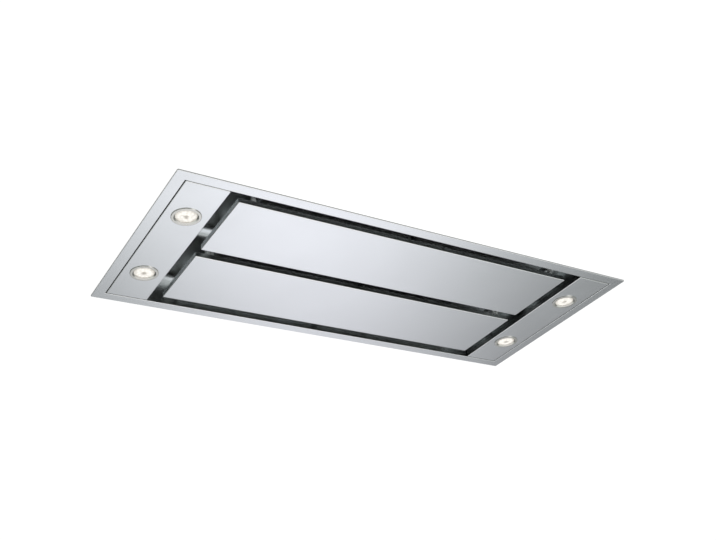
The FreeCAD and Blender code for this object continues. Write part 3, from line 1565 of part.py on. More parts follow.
def make_nodes():
    """Every sub-part of the hood, from the visible frame up to the roof of the plenum."""
    nodes = [make_trim_frame(), make_filter_tray(), make_body_top()]
    for index, end in enumerate(FRONT_REAR):
        nodes.append(make_long_wall(f"body_{end}_wall", bool(index)))
    for index, side in enumerate(LEFT_RIGHT):
        nodes.append(make_end_wall(f"body_{side}_wall", bool(index)))
        nodes.append(make_light_panel(f"{side}_light_panel", bool(index)))
    nodes += [make_light_panel_clips()] + make_panels()
    nodes += [make_hinge_brackets(), make_hinge_pins(), make_panel_catches()]
    nodes += make_filters() + make_lamps()
    nodes += [make_inlet_ring(), make_scroll_base(), make_scroll_wrap(), make_scroll_top()]
    nodes += [make_wheel_plate(), make_wheel_blades(), make_wheel_ring(), make_motor_shaft()]
    nodes += [make_motor(), make_motor_grommets(), make_outlet_transition(), make_outlet_collar()]
    nodes += [make_damper_spindle()] + make_damper_flaps()
    nodes += [make_control_box(), make_control_box_lid(), make_lamp_driver(), make_terminal_block()]
    nodes += [make_control_board(), make_cable_gland(), make_capacitor()]
    nodes += [make_hanger_brackets(), make_body_screws()]
    return nodes


def check_document(nodes):
    """Stops the script where a feature failed or a sub-part has no valid solid."""
    for item in doc.Objects:
        if "Invalid" in item.State or "Error" in item.State:
            raise RuntimeError(f"{item.Label} failed: {item.getStatusString()}")
    for node in nodes:
        if node.Shape.isNull() or not node.Shape.isValid() or not node.Shape.Solids:
            raise RuntimeError(f"{node.Label} has no valid solid")


parts = make_nodes()
doc.recompute()
check_document(parts)
os.makedirs("parts", exist_ok=True)
for part in parts:
    part.Shape.exportStep(f"parts/{part.Label}.step")
print(f"{len(parts)} nodes written")
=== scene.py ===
"""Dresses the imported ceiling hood: finishes, fine detail, stage, light and camera.

Lengths are in metres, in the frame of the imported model: the ceiling plane is z = 0, +Z points up
into the ceiling void, +X runs along the long side and the front is at -Y.
"""
from __future__ import annotations

import json
import logging
from dataclasses import dataclass
from enum import Enum
from math import cos, pi, sin
from typing import Any, ClassVar, Sequence

import bpy
from mathutils import Matrix, Vector

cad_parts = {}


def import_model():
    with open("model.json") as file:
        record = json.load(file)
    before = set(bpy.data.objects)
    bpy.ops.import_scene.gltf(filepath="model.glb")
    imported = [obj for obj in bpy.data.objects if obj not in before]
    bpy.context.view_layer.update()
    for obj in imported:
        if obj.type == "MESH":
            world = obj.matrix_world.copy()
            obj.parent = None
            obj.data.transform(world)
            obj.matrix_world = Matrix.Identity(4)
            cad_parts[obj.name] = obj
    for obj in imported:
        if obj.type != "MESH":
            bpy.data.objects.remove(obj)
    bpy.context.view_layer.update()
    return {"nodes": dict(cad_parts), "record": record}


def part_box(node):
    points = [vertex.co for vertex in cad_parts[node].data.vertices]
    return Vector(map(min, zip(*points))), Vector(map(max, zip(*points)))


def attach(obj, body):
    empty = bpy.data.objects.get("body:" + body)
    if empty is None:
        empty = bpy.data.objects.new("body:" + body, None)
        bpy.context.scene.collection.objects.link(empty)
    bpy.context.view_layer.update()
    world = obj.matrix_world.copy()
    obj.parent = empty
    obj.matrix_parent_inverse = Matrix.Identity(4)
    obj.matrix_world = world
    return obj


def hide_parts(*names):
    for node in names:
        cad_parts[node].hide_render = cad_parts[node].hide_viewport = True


LOG = logging.getLogger("ceiling_hood")

Colour = tuple[float, float, float]
Socket = bpy.types.NodeSocket


class Graph:
    """Fills one node tree, node by node."""

    def __init__(self, tree: bpy.types.NodeTree) -> None:
        """Keeps the tree that the nodes go into."""
        self.tree = tree

    @classmethod
    def fresh(cls, owner: Any) -> Graph:
        """Empties the node tree of a material, a world or a light.

        Args:
            owner: What the tree belongs to.

        Returns:
            A graph of the empty tree.
        """
        owner.use_nodes = True
        owner.node_tree.nodes.clear()
        return cls(owner.node_tree)

    def add(self, kind: str, inputs: dict[Any, Any] | None = None, **settings: Any) -> bpy.types.Node:
        """Adds a node, links or sets its inputs and sets its properties.

        Args:
            kind: Blender's name of the node type.
            inputs: What each named or numbered input takes: a socket to link, or a plain value.
            settings: Properties of the node itself, such as its operation.

        Returns:
            The new node.
        """
        node = self.tree.nodes.new(kind)
        for name, value in settings.items():
            setattr(node, name, value)
        for key, value in (inputs or {}).items():
            if isinstance(value, Socket):
                self.tree.links.new(value, node.inputs[key])
            else:
                node.inputs[key].default_value = value
        return node

    def math(self, operation: str, first: Any, second: Any = 0.0, clamp: bool = False) -> Socket:
        """Adds a Math node.

        Args:
            operation: The operation, in Blender's words.
            first: Socket or number.
            second: Socket or number.
            clamp: Whether the result is kept between 0 and 1.

        Returns:
            The result's socket.
        """
        inputs = {0: first, 1: second}
        return self.add("ShaderNodeMath", inputs, operation=operation, use_clamp=clamp).outputs[0]

    def mingle(self, first: Socket, second: Socket, share: float) -> Socket:
        """Adds two masks by weight.

        Args:
            first: One mask.
            second: The other mask.
            share: Weight of the first. The second has the rest.

        Returns:
            The sum's socket.
        """
        pairs = ((first, share), (second, 1 - share))
        return self.math("ADD", *[self.math("MULTIPLY", mask, weight) for mask, weight in pairs])

    def spread(self, value: Any, low: float, high: float, to_low: float, to_high: float) -> Socket:
        """Maps a value from one range to another, clamped at both ends.

        Args:
            value: Socket to map.
            low: Start of the range it comes from.
            high: End of the range it comes from.
            to_low: Start of the range it goes to.
            to_high: End of the range it goes to.

        Returns:
            The mapped value's socket.
        """
        inputs = {"Value": value, "From Min": low, "From Max": high, "To Min": to_low, "To Max": to_high}
        return self.add("ShaderNodeMapRange", inputs).outputs[0]

    def hump(self, value: Socket, middle: float, width: Any) -> Socket:
        """Makes a smooth hump that is 1 in its middle and falls off on both sides.

        Args:
            value: What the hump runs along.
            middle: Where it peaks.
            width: Socket or number: how far from there it has fallen to about a third.

        Returns:
            The hump's socket.
        """
        share = self.math("DIVIDE", self.math("SUBTRACT", value, middle), width)
        return self.math("EXPONENT", self.math("MULTIPLY", self.math("MULTIPLY", share, share), -1.0))

    def blend(self, factor: Socket, first: Any, second: Any) -> Socket:
        """Mixes two colours.

        Args:
            factor: How much of the second colour shows.
            first: Socket or colour.
            second: Socket or colour.

        Returns:
            The mixed colour's socket.
        """
        colours = [value if isinstance(value, Socket) else (*value, 1.0) for value in (first, second)]
        inputs = {0: factor, 6: colours[0], 7: colours[1]}
        return self.add("ShaderNodeMix", inputs, data_type="RGBA").outputs[2]

    def stretched(self, coords: Socket, scale: Sequence[float]) -> Socket:
        """Scales coordinates along each axis.

        Args:
            coords: The coordinates.
            scale: A factor for each axis.

        Returns:
            The scaled coordinates' socket.
        """
        inputs = {"Vector": coords, "Scale": tuple(scale)}
        return self.add("ShaderNodeMapping", inputs).outputs[0]


class Effects:
    """Shader node groups that several finishes share, each built once."""

    SCRATCH_RANGE: ClassVar[tuple[float, float]] = (0.62, 0.7)
    SMEAR_RANGE: ClassVar[tuple[float, float]] = (0.3, 0.7)
    CRYSTAL_BEND: ClassVar[float] = 0.03

    @staticmethod
    def group(name: str, inputs: dict[str, tuple[str, Any]], outputs: Sequence[str]) -> Graph | None:
        """Starts a shader group.

        Args:
            name: The group's name.
            inputs: Socket type and default of each named input.
            outputs: Names of its outputs, all plain values.

        Returns:
            A graph of the new group, or nothing where the group is there already.
        """
        if name in bpy.data.node_groups:
            return None
        tree = bpy.data.node_groups.new(name, "ShaderNodeTree")
        for label, (kind, default) in inputs.items():
            socket = tree.interface.new_socket(name=label, in_out="INPUT", socket_type=kind)
            if default is not None:
                socket.default_value = default
        for label in outputs:
            tree.interface.new_socket(name=label, in_out="OUTPUT", socket_type="NodeSocketFloat")
        return Graph(tree)

    @classmethod
    def brushing(cls) -> bpy.types.NodeTree:
        """Fine parallel scratches: a soft grain and a few longer, deeper lines."""
        name = "brushing"
        graph = cls.group(name, {"Vector": ("NodeSocketVector", None)}, ("Grain", "Scratch"))
        if graph:
            coords = graph.add("NodeGroupInput").outputs["Vector"]
            fine = graph.add("ShaderNodeTexNoise", {"Vector": coords, "Scale": 1.0, "Detail": 3.0})
            coarse = graph.add("ShaderNodeTexNoise", {"Vector": coords, "Scale": 0.23, "Detail": 1.0})
            scratch = graph.spread(coarse.outputs[0], *cls.SCRATCH_RANGE, 0.0, 1.0)
            graph.add("NodeGroupOutput", {"Grain": fine.outputs[0], "Scratch": scratch})
        return bpy.data.node_groups[name]

    @classmethod
    def handling(cls) -> bpy.types.NodeTree:
        """Broad, faint smears of a surface that is wiped and touched."""
        name = "handling"
        inputs = {"Vector": ("NodeSocketVector", None), "Scale": ("NodeSocketFloat", 6.0)}
        graph = cls.group(name, inputs, ("Smear",))
        if graph:
            given = graph.add("NodeGroupInput").outputs
            noise = graph.add(
                "ShaderNodeTexNoise",
                {"Vector": given["Vector"], "Scale": given["Scale"], "Detail": 4.0, "Distortion": 0.6},
            )
            smear = graph.spread(noise.outputs[0], *cls.SMEAR_RANGE, 0.0, 1.0)
            graph.add("NodeGroupOutput", {"Smear": smear})
        return bpy.data.node_groups[name]

    @classmethod
    def moulding(cls) -> bpy.types.NodeTree:
        """The fine pebbled grain of a moulded surface."""
        name = "moulding"
        inputs = {"Vector": ("NodeSocketVector", None), "Scale": ("NodeSocketFloat", 900.0)}
        graph = cls.group(name, inputs, ("Grain",))
        if graph:
            given = graph.add("NodeGroupInput").outputs
            inputs = {"Vector": given["Vector"], "Scale": given["Scale"]}
            cells = graph.add("ShaderNodeTexVoronoi", inputs, feature="SMOOTH_F1")
            graph.add("NodeGroupOutput", {"Grain": cells.outputs["Distance"]})
        return bpy.data.node_groups[name]

    @classmethod
    def spangle(cls) -> bpy.types.NodeTree:
        """Zinc crystals: each cell has a shade of its own."""
        name = "spangle"
        inputs = {"Vector": ("NodeSocketVector", None), "Scale": ("NodeSocketFloat", 90.0)}
        graph = cls.group(name, inputs, ("Shade",))
        if graph:
            given = graph.add("NodeGroupInput").outputs
            bent = graph.add("ShaderNodeTexNoise", {"Vector": given["Vector"], "Scale": 40.0, "Detail": 2.0})
            inputs = {0: cls.CRYSTAL_BEND, 4: given["Vector"], 5: bent.outputs["Color"]}
            shifted = graph.add("ShaderNodeMix", inputs, data_type="VECTOR")
            cells = graph.add("ShaderNodeTexVoronoi", {"Vector": shifted.outputs[1], "Scale": given["Scale"]})
            shade = graph.add("ShaderNodeSeparateColor", {"Color": cells.outputs["Color"]}).outputs[0]
            graph.add("NodeGroupOutput", {"Shade": shade})
        return bpy.data.node_groups[name]


@dataclass(frozen=True)
class Finish:
    """A surface finish. Each kind adds its own detail to the shader."""

    name: str
    colour: Colour
    roughness: float

    metallic: ClassVar[float] = 0.0
    SMEAR_SCALE: ClassVar[float]
    LEAST_ROUGHNESS: ClassVar[float] = 0.02
    BUMP_STRENGTH: ClassVar[float] = 0.6

    def material(self) -> bpy.types.Material:
        """Makes the finish's material, or finds it where it is made already.

        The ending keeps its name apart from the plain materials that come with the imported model.

        Returns:
            The material.
        """
        label = f"{self.name}_finish"
        material = bpy.data.materials.get(label)
        if material:
            return material
        material = bpy.data.materials.new(label)
        graph = Graph.fresh(material)
        shader = graph.add("ShaderNodeBsdfPrincipled", {
            "Base Color": (*self.colour, 1.0), "Roughness": self.roughness, "Metallic": self.metallic,
        })
        graph.add("ShaderNodeOutputMaterial", {"Surface": shader.outputs[0]})
        self.detail(graph, shader, graph.add("ShaderNodeTexCoord").outputs["Object"])
        return material

    def detail(self, graph: Graph, shader: bpy.types.Node, coords: Socket) -> None:
        """Adds what is special to this kind of finish.

        Args:
            graph: The material's graph.
            shader: Its Principled BSDF.
            coords: Object coordinates.
        """
        raise NotImplementedError

    def effect(self, graph: Graph, tree: bpy.types.NodeTree, inputs: dict[str, Any]) -> bpy.types.Node:
        """Places a shared effect in the material.

        Args:
            graph: The material's graph.
            tree: The effect's group.
            inputs: What its inputs take.

        Returns:
            The group's node.
        """
        return graph.add("ShaderNodeGroup", inputs, node_tree=tree)

    def smear(self, graph: Graph, coords: Socket) -> Socket:
        """Places the smears of handling, at the size that suits the finish.

        Args:
            graph: The material's graph.
            coords: Object coordinates.

        Returns:
            The smears' socket, from 0 to 1.
        """
        inputs = {"Vector": coords, "Scale": self.SMEAR_SCALE}
        return self.effect(graph, Effects.handling(), inputs).outputs[0]

    def tint(self, graph: Graph, shader: bpy.types.Node, mask: Socket, change: float) -> None:
        """Varies the base colour with a mask.

        Args:
            graph: The material's graph.
            shader: Its Principled BSDF.
            mask: From 0, the darker tone, to 1, the lighter one.
            change: Share by which the tones lie below and above the finish's colour.
        """
        low = tuple(part * (1 - change) for part in self.colour)
        high = tuple(min(1.0, part * (1 + change)) for part in self.colour)
        graph.tree.links.new(graph.blend(mask, low, high), shader.inputs["Base Color"])

    def roughen(self, graph: Graph, shader: bpy.types.Node, mask: Socket, change: float) -> None:
        """Varies the roughness with a mask.

        Args:
            graph: The material's graph.
            shader: Its Principled BSDF.
            mask: From 0 to 1.
            change: How far the roughness goes below and above the finish's own.
        """
        low, high = max(self.LEAST_ROUGHNESS, self.roughness - change), self.roughness + change
        graph.tree.links.new(graph.spread(mask, 0.0, 1.0, low, high), shader.inputs["Roughness"])

    def emboss(self, graph: Graph, shader: bpy.types.Node, height: Socket, depth: float) -> None:
        """Raises the surface with a bump.

        Args:
            graph: The material's graph.
            shader: Its Principled BSDF.
            height: From 0 to 1.
            depth: Height of the relief.
        """
        inputs = {"Height": height, "Distance": depth, "Strength": self.BUMP_STRENGTH}
        bump = graph.add("ShaderNodeBump", inputs)
        graph.tree.links.new(bump.outputs[0], shader.inputs["Normal"])


class Brush(Enum):
    """Which way a sheet was brushed."""

    LENGTHWAYS = "along X"
    CROSSWAYS = "along Y"
    MITRED = "along each side of the frame"


@dataclass(frozen=True)
class BrushedMetal(Finish):
    """Metal with a directional grain."""

    brush: Brush = Brush.LENGTHWAYS
    depth: float = 0.00003

    metallic: ClassVar[float] = 1.0
    ALONG: ClassVar[float] = 14.0
    ACROSS: ClassVar[float] = 2600.0
    FRAME_EXCESS: ClassVar[float] = 0.335
    SMEAR_SCALE: ClassVar[float] = 5.0
    SCRATCH_SHARE: ClassVar[float] = 0.2
    TINT: ClassVar[float] = 0.06
    GRAIN_SHARE: ClassVar[float] = 0.7
    WEAR: ClassVar[float] = 0.07

    def detail(self, graph: Graph, shader: bpy.types.Node, coords: Socket) -> None:
        """Adds the grain, a few scratches and faint smears.

        Args:
            graph: The material's graph.
            shader: Its Principled BSDF.
            coords: Object coordinates.
        """
        lengthways = graph.stretched(coords, (self.ALONG, self.ACROSS, self.ACROSS))
        crossways = graph.stretched(coords, (self.ACROSS, self.ALONG, self.ACROSS))
        if self.brush is Brush.MITRED:
            parts = graph.add("ShaderNodeSeparateXYZ", {0: coords}).outputs
            beyond = graph.math("SUBTRACT", *[graph.math("ABSOLUTE", part) for part in parts[:2]])
            short_side = graph.math("GREATER_THAN", beyond, self.FRAME_EXCESS)
            inputs = {0: short_side, 4: lengthways, 5: crossways}
            grain_coords = graph.add("ShaderNodeMix", inputs, data_type="VECTOR").outputs[1]
        else:
            grain_coords = crossways if self.brush is Brush.CROSSWAYS else lengthways
        grain = self.effect(graph, Effects.brushing(), {"Vector": grain_coords}).outputs
        scratch = graph.math("MULTIPLY", grain["Scratch"], self.SCRATCH_SHARE)
        lines = graph.math("SUBTRACT", grain["Grain"], scratch, clamp=True)
        self.tint(graph, shader, lines, self.TINT)
        worn = graph.mingle(lines, self.smear(graph, coords), self.GRAIN_SHARE)
        self.roughen(graph, shader, worn, self.WEAR)
        self.emboss(graph, shader, lines, self.depth)


@dataclass(frozen=True)
class FoldedSheet(BrushedMetal):
    """Brushed sheet with burnished bends lightened as a painted highlight, and with folds and an inside made
    darker by the mill's own surface and by painted shade.
    """

    # Lighter than the sheet: burnish, and a painted highlight along the bends.
    burnish_and_highlight_colour: Colour = (0.88, 0.88, 0.87)
    bend_roughness: float = 0.34
    # Darker than the sheet: the mill finish, and painted shade in the folds and inside.
    mill_and_shade_colour: Colour = (0.43, 0.44, 0.44)
    fold_roughness: float = 0.27

    BEND_DEPTH: ClassVar[float] = 0.00285
    FOLD_DEPTH: ClassVar[float] = 0.0019

    def detail(self, graph: Graph, shader: bpy.types.Node, coords: Socket) -> None:
        """Keeps the brushed colour and roughness to the face that shows, and lays above it the bends,
        lightened as a painted highlight, and the folds, darkened as painted shade over the mill finish.

        Args:
            graph: The material's graph.
            shader: Its Principled BSDF.
            coords: Object coordinates.
        """
        super().detail(graph, shader, coords)
        height = graph.add("ShaderNodeSeparateXYZ", {0: coords}).outputs[2]
        layers = (
            (self.BEND_DEPTH, self.burnish_and_highlight_colour, self.bend_roughness),
            (self.FOLD_DEPTH, self.mill_and_shade_colour, self.fold_roughness),
        )
        colour, roughness = shader.inputs["Base Color"], shader.inputs["Roughness"]
        # The bend band gets the painted highlight; above it, the folds and the inside get the painted shade.
        for depth, layer_colour, layer_roughness in layers:
            above = graph.math("GREATER_THAN", height, -depth)
            graph.tree.links.new(graph.blend(above, colour.links[0].from_socket, layer_colour), colour)
            inputs = {0: above, 2: roughness.links[0].from_socket, 3: layer_roughness}
            graph.tree.links.new(graph.add("ShaderNodeMix", inputs).outputs[0], roughness)


@dataclass(frozen=True)
class PlainMetal(Finish):
    """Polished, plated or cast metal with faint smears."""

    change: float = 0.05

    metallic: ClassVar[float] = 1.0
    SMEAR_SCALE: ClassVar[float] = 22.0
    GRAIN_SCALE: ClassVar[float] = 700.0
    GRAIN_DEPTH: ClassVar[float] = 0.00002

    def detail(self, graph: Graph, shader: bpy.types.Node, coords: Socket) -> None:
        """Adds smears and a fine unevenness.

        Args:
            graph: The material's graph.
            shader: Its Principled BSDF.
            coords: Object coordinates.
        """
        smear = self.smear(graph, coords)
        inputs = {"Vector": coords, "Scale": self.GRAIN_SCALE}
        grain = self.effect(graph, Effects.moulding(), inputs).outputs[0]
        self.tint(graph, shader, smear, self.change)
        self.roughen(graph, shader, smear, self.change)
        self.emboss(graph, shader, grain, self.GRAIN_DEPTH)


@dataclass(frozen=True)
class SpangledSheet(Finish):
    """Galvanised sheet with its zinc crystals."""

    scale: float = 90.0

    metallic: ClassVar[float] = 1.0
    SMEAR_SCALE: ClassVar[float] = 4.0
    CRYSTAL_SHARE: ClassVar[float] = 0.6
    CRYSTAL_DEPTH: ClassVar[float] = 0.00003
    TINT: ClassVar[float] = 0.13
    WEAR: ClassVar[float] = 0.06

    def detail(self, graph: Graph, shader: bpy.types.Node, coords: Socket) -> None:
        """Adds the crystals and the smears of handling.

        Args:
            graph: The material's graph.
            shader: Its Principled BSDF.
            coords: Object coordinates.
        """
        shade = self.effect(graph, Effects.spangle(), {"Vector": coords, "Scale": self.scale}).outputs[0]
        mottled = graph.mingle(shade, self.smear(graph, coords), self.CRYSTAL_SHARE)
        self.tint(graph, shader, mottled, self.TINT)
        self.roughen(graph, shader, shade, self.WEAR)
        self.emboss(graph, shader, shade, self.CRYSTAL_DEPTH)


@dataclass(frozen=True)
class Moulded(Finish):
    """Plastic, rubber, ceramic or paint with a fine grain."""

    scale: float = 900.0
    depth: float = 0.00006

    SMEAR_SCALE: ClassVar[float] = 18.0
    GRAIN_SHARE: ClassVar[float] = 0.4
    TINT: ClassVar[float] = 0.1
    WEAR: ClassVar[float] = 0.08

    def detail(self, graph: Graph, shader: bpy.types.Node, coords: Socket) -> None:
        """Adds the grain and the smears of handling.

        Args:
            graph: The material's graph.
            shader: Its Principled BSDF.
            coords: Object coordinates.
        """
        grain = self.effect(graph, Effects.moulding(), {"Vector": coords, "Scale": self.scale}).outputs[0]
        smear = self.smear(graph, coords)
        self.tint(graph, shader, smear, self.TINT)
        self.roughen(graph, shader, graph.mingle(grain, smear, self.GRAIN_SHARE), self.WEAR)
        self.emboss(graph, shader, grain, self.depth)


@dataclass(frozen=True)
class LitGlass(Finish):
    """The lens of a lamp that is on: bright around, with the bulb's cap grey in its middle."""

    centre_x: float = 0.5235
    centre_y: float = 0.122
    cap_radius: float = 0.0055
    rim_radius: float = 0.0225

    CAP_EDGES: ClassVar[tuple[float, float]] = (0.6, 1.5)
    CAP_TONE: ClassVar[float] = 0.42
    RIM_START: ClassVar[float] = 0.72
    RIM_TONE: ClassVar[float] = 0.5
    RING_TURNS: ClassVar[float] = 3600.0
    FACET_SCALE: ClassVar[float] = 170.0
    FACET_SHADE: ClassVar[float] = 0.6
    RELIEF: ClassVar[float] = 0.0002
    DIM_GLOW: ClassVar[Colour] = (0.36, 0.33, 0.29)
    FULL_GLOW: ClassVar[Colour] = (1.0, 0.975, 0.92)
    GLOW_STRENGTH: ClassVar[float] = 1.1
    COAT: ClassVar[float] = 0.4

    def detail(self, graph: Graph, shader: bpy.types.Node, coords: Socket) -> None:
        """Adds the glow, the pressed rings and the facets of the glass.

        Args:
            graph: The material's graph.
            shader: Its Principled BSDF.
            coords: Object coordinates.
        """
        parts = graph.add("ShaderNodeSeparateXYZ", {0: coords}).outputs
        offsets = [
            graph.math("SUBTRACT", graph.math("ABSOLUTE", part), centre)
            for part, centre in zip(parts[:2], (self.centre_x, self.centre_y))
        ]
        radius = graph.math("SQRT", graph.math("ADD", *[graph.math("POWER", part, 2.0) for part in offsets]))
        rings = graph.math("SINE", graph.math("MULTIPLY", radius, self.RING_TURNS))
        inputs = {"Vector": coords, "Scale": self.FACET_SCALE}
        facets = graph.add("ShaderNodeTexVoronoi", inputs).outputs["Distance"]
        sparkle = graph.math("MULTIPLY", facets, self.FACET_SHADE)
        start, end = (self.cap_radius * share for share in self.CAP_EDGES)
        cap = graph.spread(radius, start, end, self.CAP_TONE, 1.0)
        rim = graph.spread(radius, self.rim_radius * self.RIM_START, self.rim_radius, 1.0, self.RIM_TONE)
        level = graph.math("SUBTRACT", graph.math("MULTIPLY", cap, rim), sparkle, clamp=True)
        glow = graph.blend(level, self.DIM_GLOW, self.FULL_GLOW)
        graph.tree.links.new(glow, shader.inputs["Emission Color"])
        shader.inputs["Emission Strength"].default_value = self.GLOW_STRENGTH
        shader.inputs["Coat Weight"].default_value = self.COAT
        self.emboss(graph, shader, graph.math("ADD", rings, facets), self.RELIEF)


@dataclass(frozen=True)
class ClearGlass(Finish):
    """Clear glass with a slight waviness."""

    SMEAR_SCALE: ClassVar[float] = 160.0
    WAVE_DEPTH: ClassVar[float] = 0.0001

    def detail(self, graph: Graph, shader: bpy.types.Node, coords: Socket) -> None:
        """Makes the shader transmit and adds the waviness.

        Args:
            graph: The material's graph.
            shader: Its Principled BSDF.
            coords: Object coordinates.
        """
        shader.inputs["Transmission Weight"].default_value = 1.0
        self.emboss(graph, shader, self.smear(graph, coords), self.WAVE_DEPTH)


STAINLESS: Colour = (0.80, 0.81, 0.83)
# These folded sheets carry a painted highlight on their bends and painted shade in their folds and inside.
FRAME_STEEL = FoldedSheet("brushed_frame", STAINLESS, 0.2, Brush.MITRED)
LIGHT_PANEL_STEEL = FoldedSheet("brushed_light_panel", STAINLESS, 0.21, Brush.CROSSWAYS)
PANEL_STEEL = FoldedSheet("brushed_suction_panel", (0.775, 0.785, 0.805), 0.19, Brush.LENGTHWAYS)
RECESS_STEEL = PlainMetal("polished_recess", (0.685, 0.715, 0.725), 0.17)
GALVANISED = SpangledSheet("galvanised_sheet", (0.72, 0.735, 0.75), 0.44)
ZINC = PlainMetal("zinc_plate", (0.80, 0.80, 0.78), 0.42)
# Zinc plate lightened nearly to white as painted light, so the brackets and catches look lit in the dark
# slots.
PAINTED_LIGHT_ZINC = PlainMetal("bright_zinc", (0.96, 0.96, 0.95), 0.6)
BURNT_ZINC = PlainMetal("burnt_zinc", (0.26, 0.26, 0.27), 0.5)
ALUMINIUM = BrushedMetal("filter_aluminium", (0.78, 0.79, 0.80), 0.34)
LAMP_CHROME = PlainMetal("lamp_bezel_chrome", (0.70, 0.685, 0.65), 0.24)
REFLECTOR = PlainMetal("lamp_reflector", (0.92, 0.91, 0.88), 0.08)
LENS = LitGlass("lit_lamp_lens", (0.22, 0.21, 0.19), 0.2)
BULB = ClearGlass("bulb_glass", (1.0, 0.98, 0.95), 0.05)
CERAMIC = Moulded("lamp_ceramic", (0.82, 0.79, 0.72), 0.7)
WHEEL_PLASTIC = Moulded("wheel_plastic", (0.05, 0.055, 0.06), 0.5)
COLLAR_PLASTIC = Moulded("collar_plastic", (0.03, 0.03, 0.033), 0.45)
MOTOR_PAINT = Moulded("motor_paint", (0.09, 0.095, 0.10), 0.4, 500.0)
RUBBER = Moulded("grommet_rubber", (0.02, 0.02, 0.02), 0.75)
BOX_PLASTIC = Moulded("control_box_plastic", (0.62, 0.63, 0.62), 0.5)
WHITE_PLASTIC = Moulded("white_plastic", (0.80, 0.80, 0.77), 0.42)
LATCH_PLASTIC = Moulded("latch_plastic", (0.035, 0.035, 0.04), 0.4)
BOARD = Moulded("board_laminate", (0.03, 0.16, 0.07), 0.35)

SLOT_FINISH: dict[str, Finish] = {
    "brushed_stainless": PANEL_STEEL,
    "polished_stainless": RECESS_STEEL,
    "galvanised_sheet": GALVANISED,
    "zinc_hardware": ZINC,
    "filter_aluminium": ALUMINIUM,
    "lamp_chrome": LAMP_CHROME,
    "lamp_glass": LENS,
    "reflector_metal": REFLECTOR,
    "bulb_glass": BULB,
    "lamp_ceramic": CERAMIC,
    "wheel_plastic": WHEEL_PLASTIC,
    "collar_plastic": COLLAR_PLASTIC,
    "motor_casing": MOTOR_PAINT,
    "black_rubber": RUBBER,
    "box_plastic": BOX_PLASTIC,
    "white_plastic": WHITE_PLASTIC,
    "latch_plastic": LATCH_PLASTIC,
    "board_laminate": BOARD,
}
NODE_FINISH: dict[str, Finish] = {
    "trim_frame": FRAME_STEEL,
    "left_light_panel": LIGHT_PANEL_STEEL,
    "right_light_panel": LIGHT_PANEL_STEEL,
    # The hinge brackets and catches are lightened with painted light.
    "hinge_brackets": PAINTED_LIGHT_ZINC,
    "panel_catches": PAINTED_LIGHT_ZINC,
}


def dress_nodes(frame: dict[str, Any]) -> None:
    """Gives every CAD node the finish of its slot, or one of its own.
    """
    for part in frame["record"]["subparts"]:
        node = frame["nodes"][part["node"]]
        finish = NODE_FINISH.get(part["node"], SLOT_FINISH[part["material_slot"]])
        node.data.materials.clear()
        node.data.materials.append(finish.material())
        LOG.info("node %s: %s", part["node"], finish.name)


def add_mesh(
    name: str, points: Sequence[Sequence[float]], faces: Sequence[Sequence[int]],
) -> bpy.types.Object:
    """Adds a mesh object at the origin.

    Args:
        name: The object's name.
        points: Its vertices.
        faces: Vertex numbers of each face.

    Returns:
        The object, in the scene.
    """
    mesh = bpy.data.meshes.new(name)
    mesh.from_pydata([tuple(point) for point in points], [], [tuple(face) for face in faces])
    piece = bpy.data.objects.new(name, mesh)
    bpy.context.scene.collection.objects.link(piece)
    return piece


class NodeModel:
    """A Geometry Nodes tree with named sizes, which is turned into a plain mesh."""

    def __init__(self, name: str, sizes: dict[str, float]) -> None:
        """Makes the tree with a geometry input and one input for each size.

        Args:
            name: The tree's name.
            sizes: Value of each named input.
        """
        self.tree = bpy.data.node_groups.new(name, "GeometryNodeTree")
        self.graph = Graph(self.tree)
        self.sizes = sizes
        face = self.tree.interface
        face.new_socket(name="Geometry", in_out="INPUT", socket_type="NodeSocketGeometry")
        self.keys = {
            label: face.new_socket(name=label, in_out="INPUT", socket_type="NodeSocketFloat").identifier
            for label in sizes
        }
        face.new_socket(name="Geometry", in_out="OUTPUT", socket_type="NodeSocketGeometry")
        self.given = self.graph.add("NodeGroupInput").outputs

    def end(self, instances: Socket, finish: Finish) -> None:
        """Closes the tree: realizes the instances and sets their material.

        Args:
            instances: The instances' socket.
            finish: What they are made of.
        """
        real = self.graph.add("GeometryNodeRealizeInstances", {0: instances}).outputs[0]
        dressed = self.graph.add(
            "GeometryNodeSetMaterial", {"Geometry": real, "Material": finish.material()},
        ).outputs[0]
        self.graph.add("NodeGroupOutput", {0: dressed})

    def apply(self, piece: bpy.types.Object) -> None:
        """Runs the tree on an object and keeps the result as its plain mesh.

        Args:
            piece: The object whose mesh the tree takes and replaces.
        """
        modifier = piece.modifiers.new(self.tree.name, "NODES")
        modifier.node_group = self.tree
        for label, key in self.keys.items():
            modifier[key] = float(self.sizes[label])
        graph = bpy.context.evaluated_depsgraph_get()
        mesh = bpy.data.meshes.new_from_object(piece.evaluated_get(graph))
        piece.modifiers.remove(modifier)
        piece.data = mesh


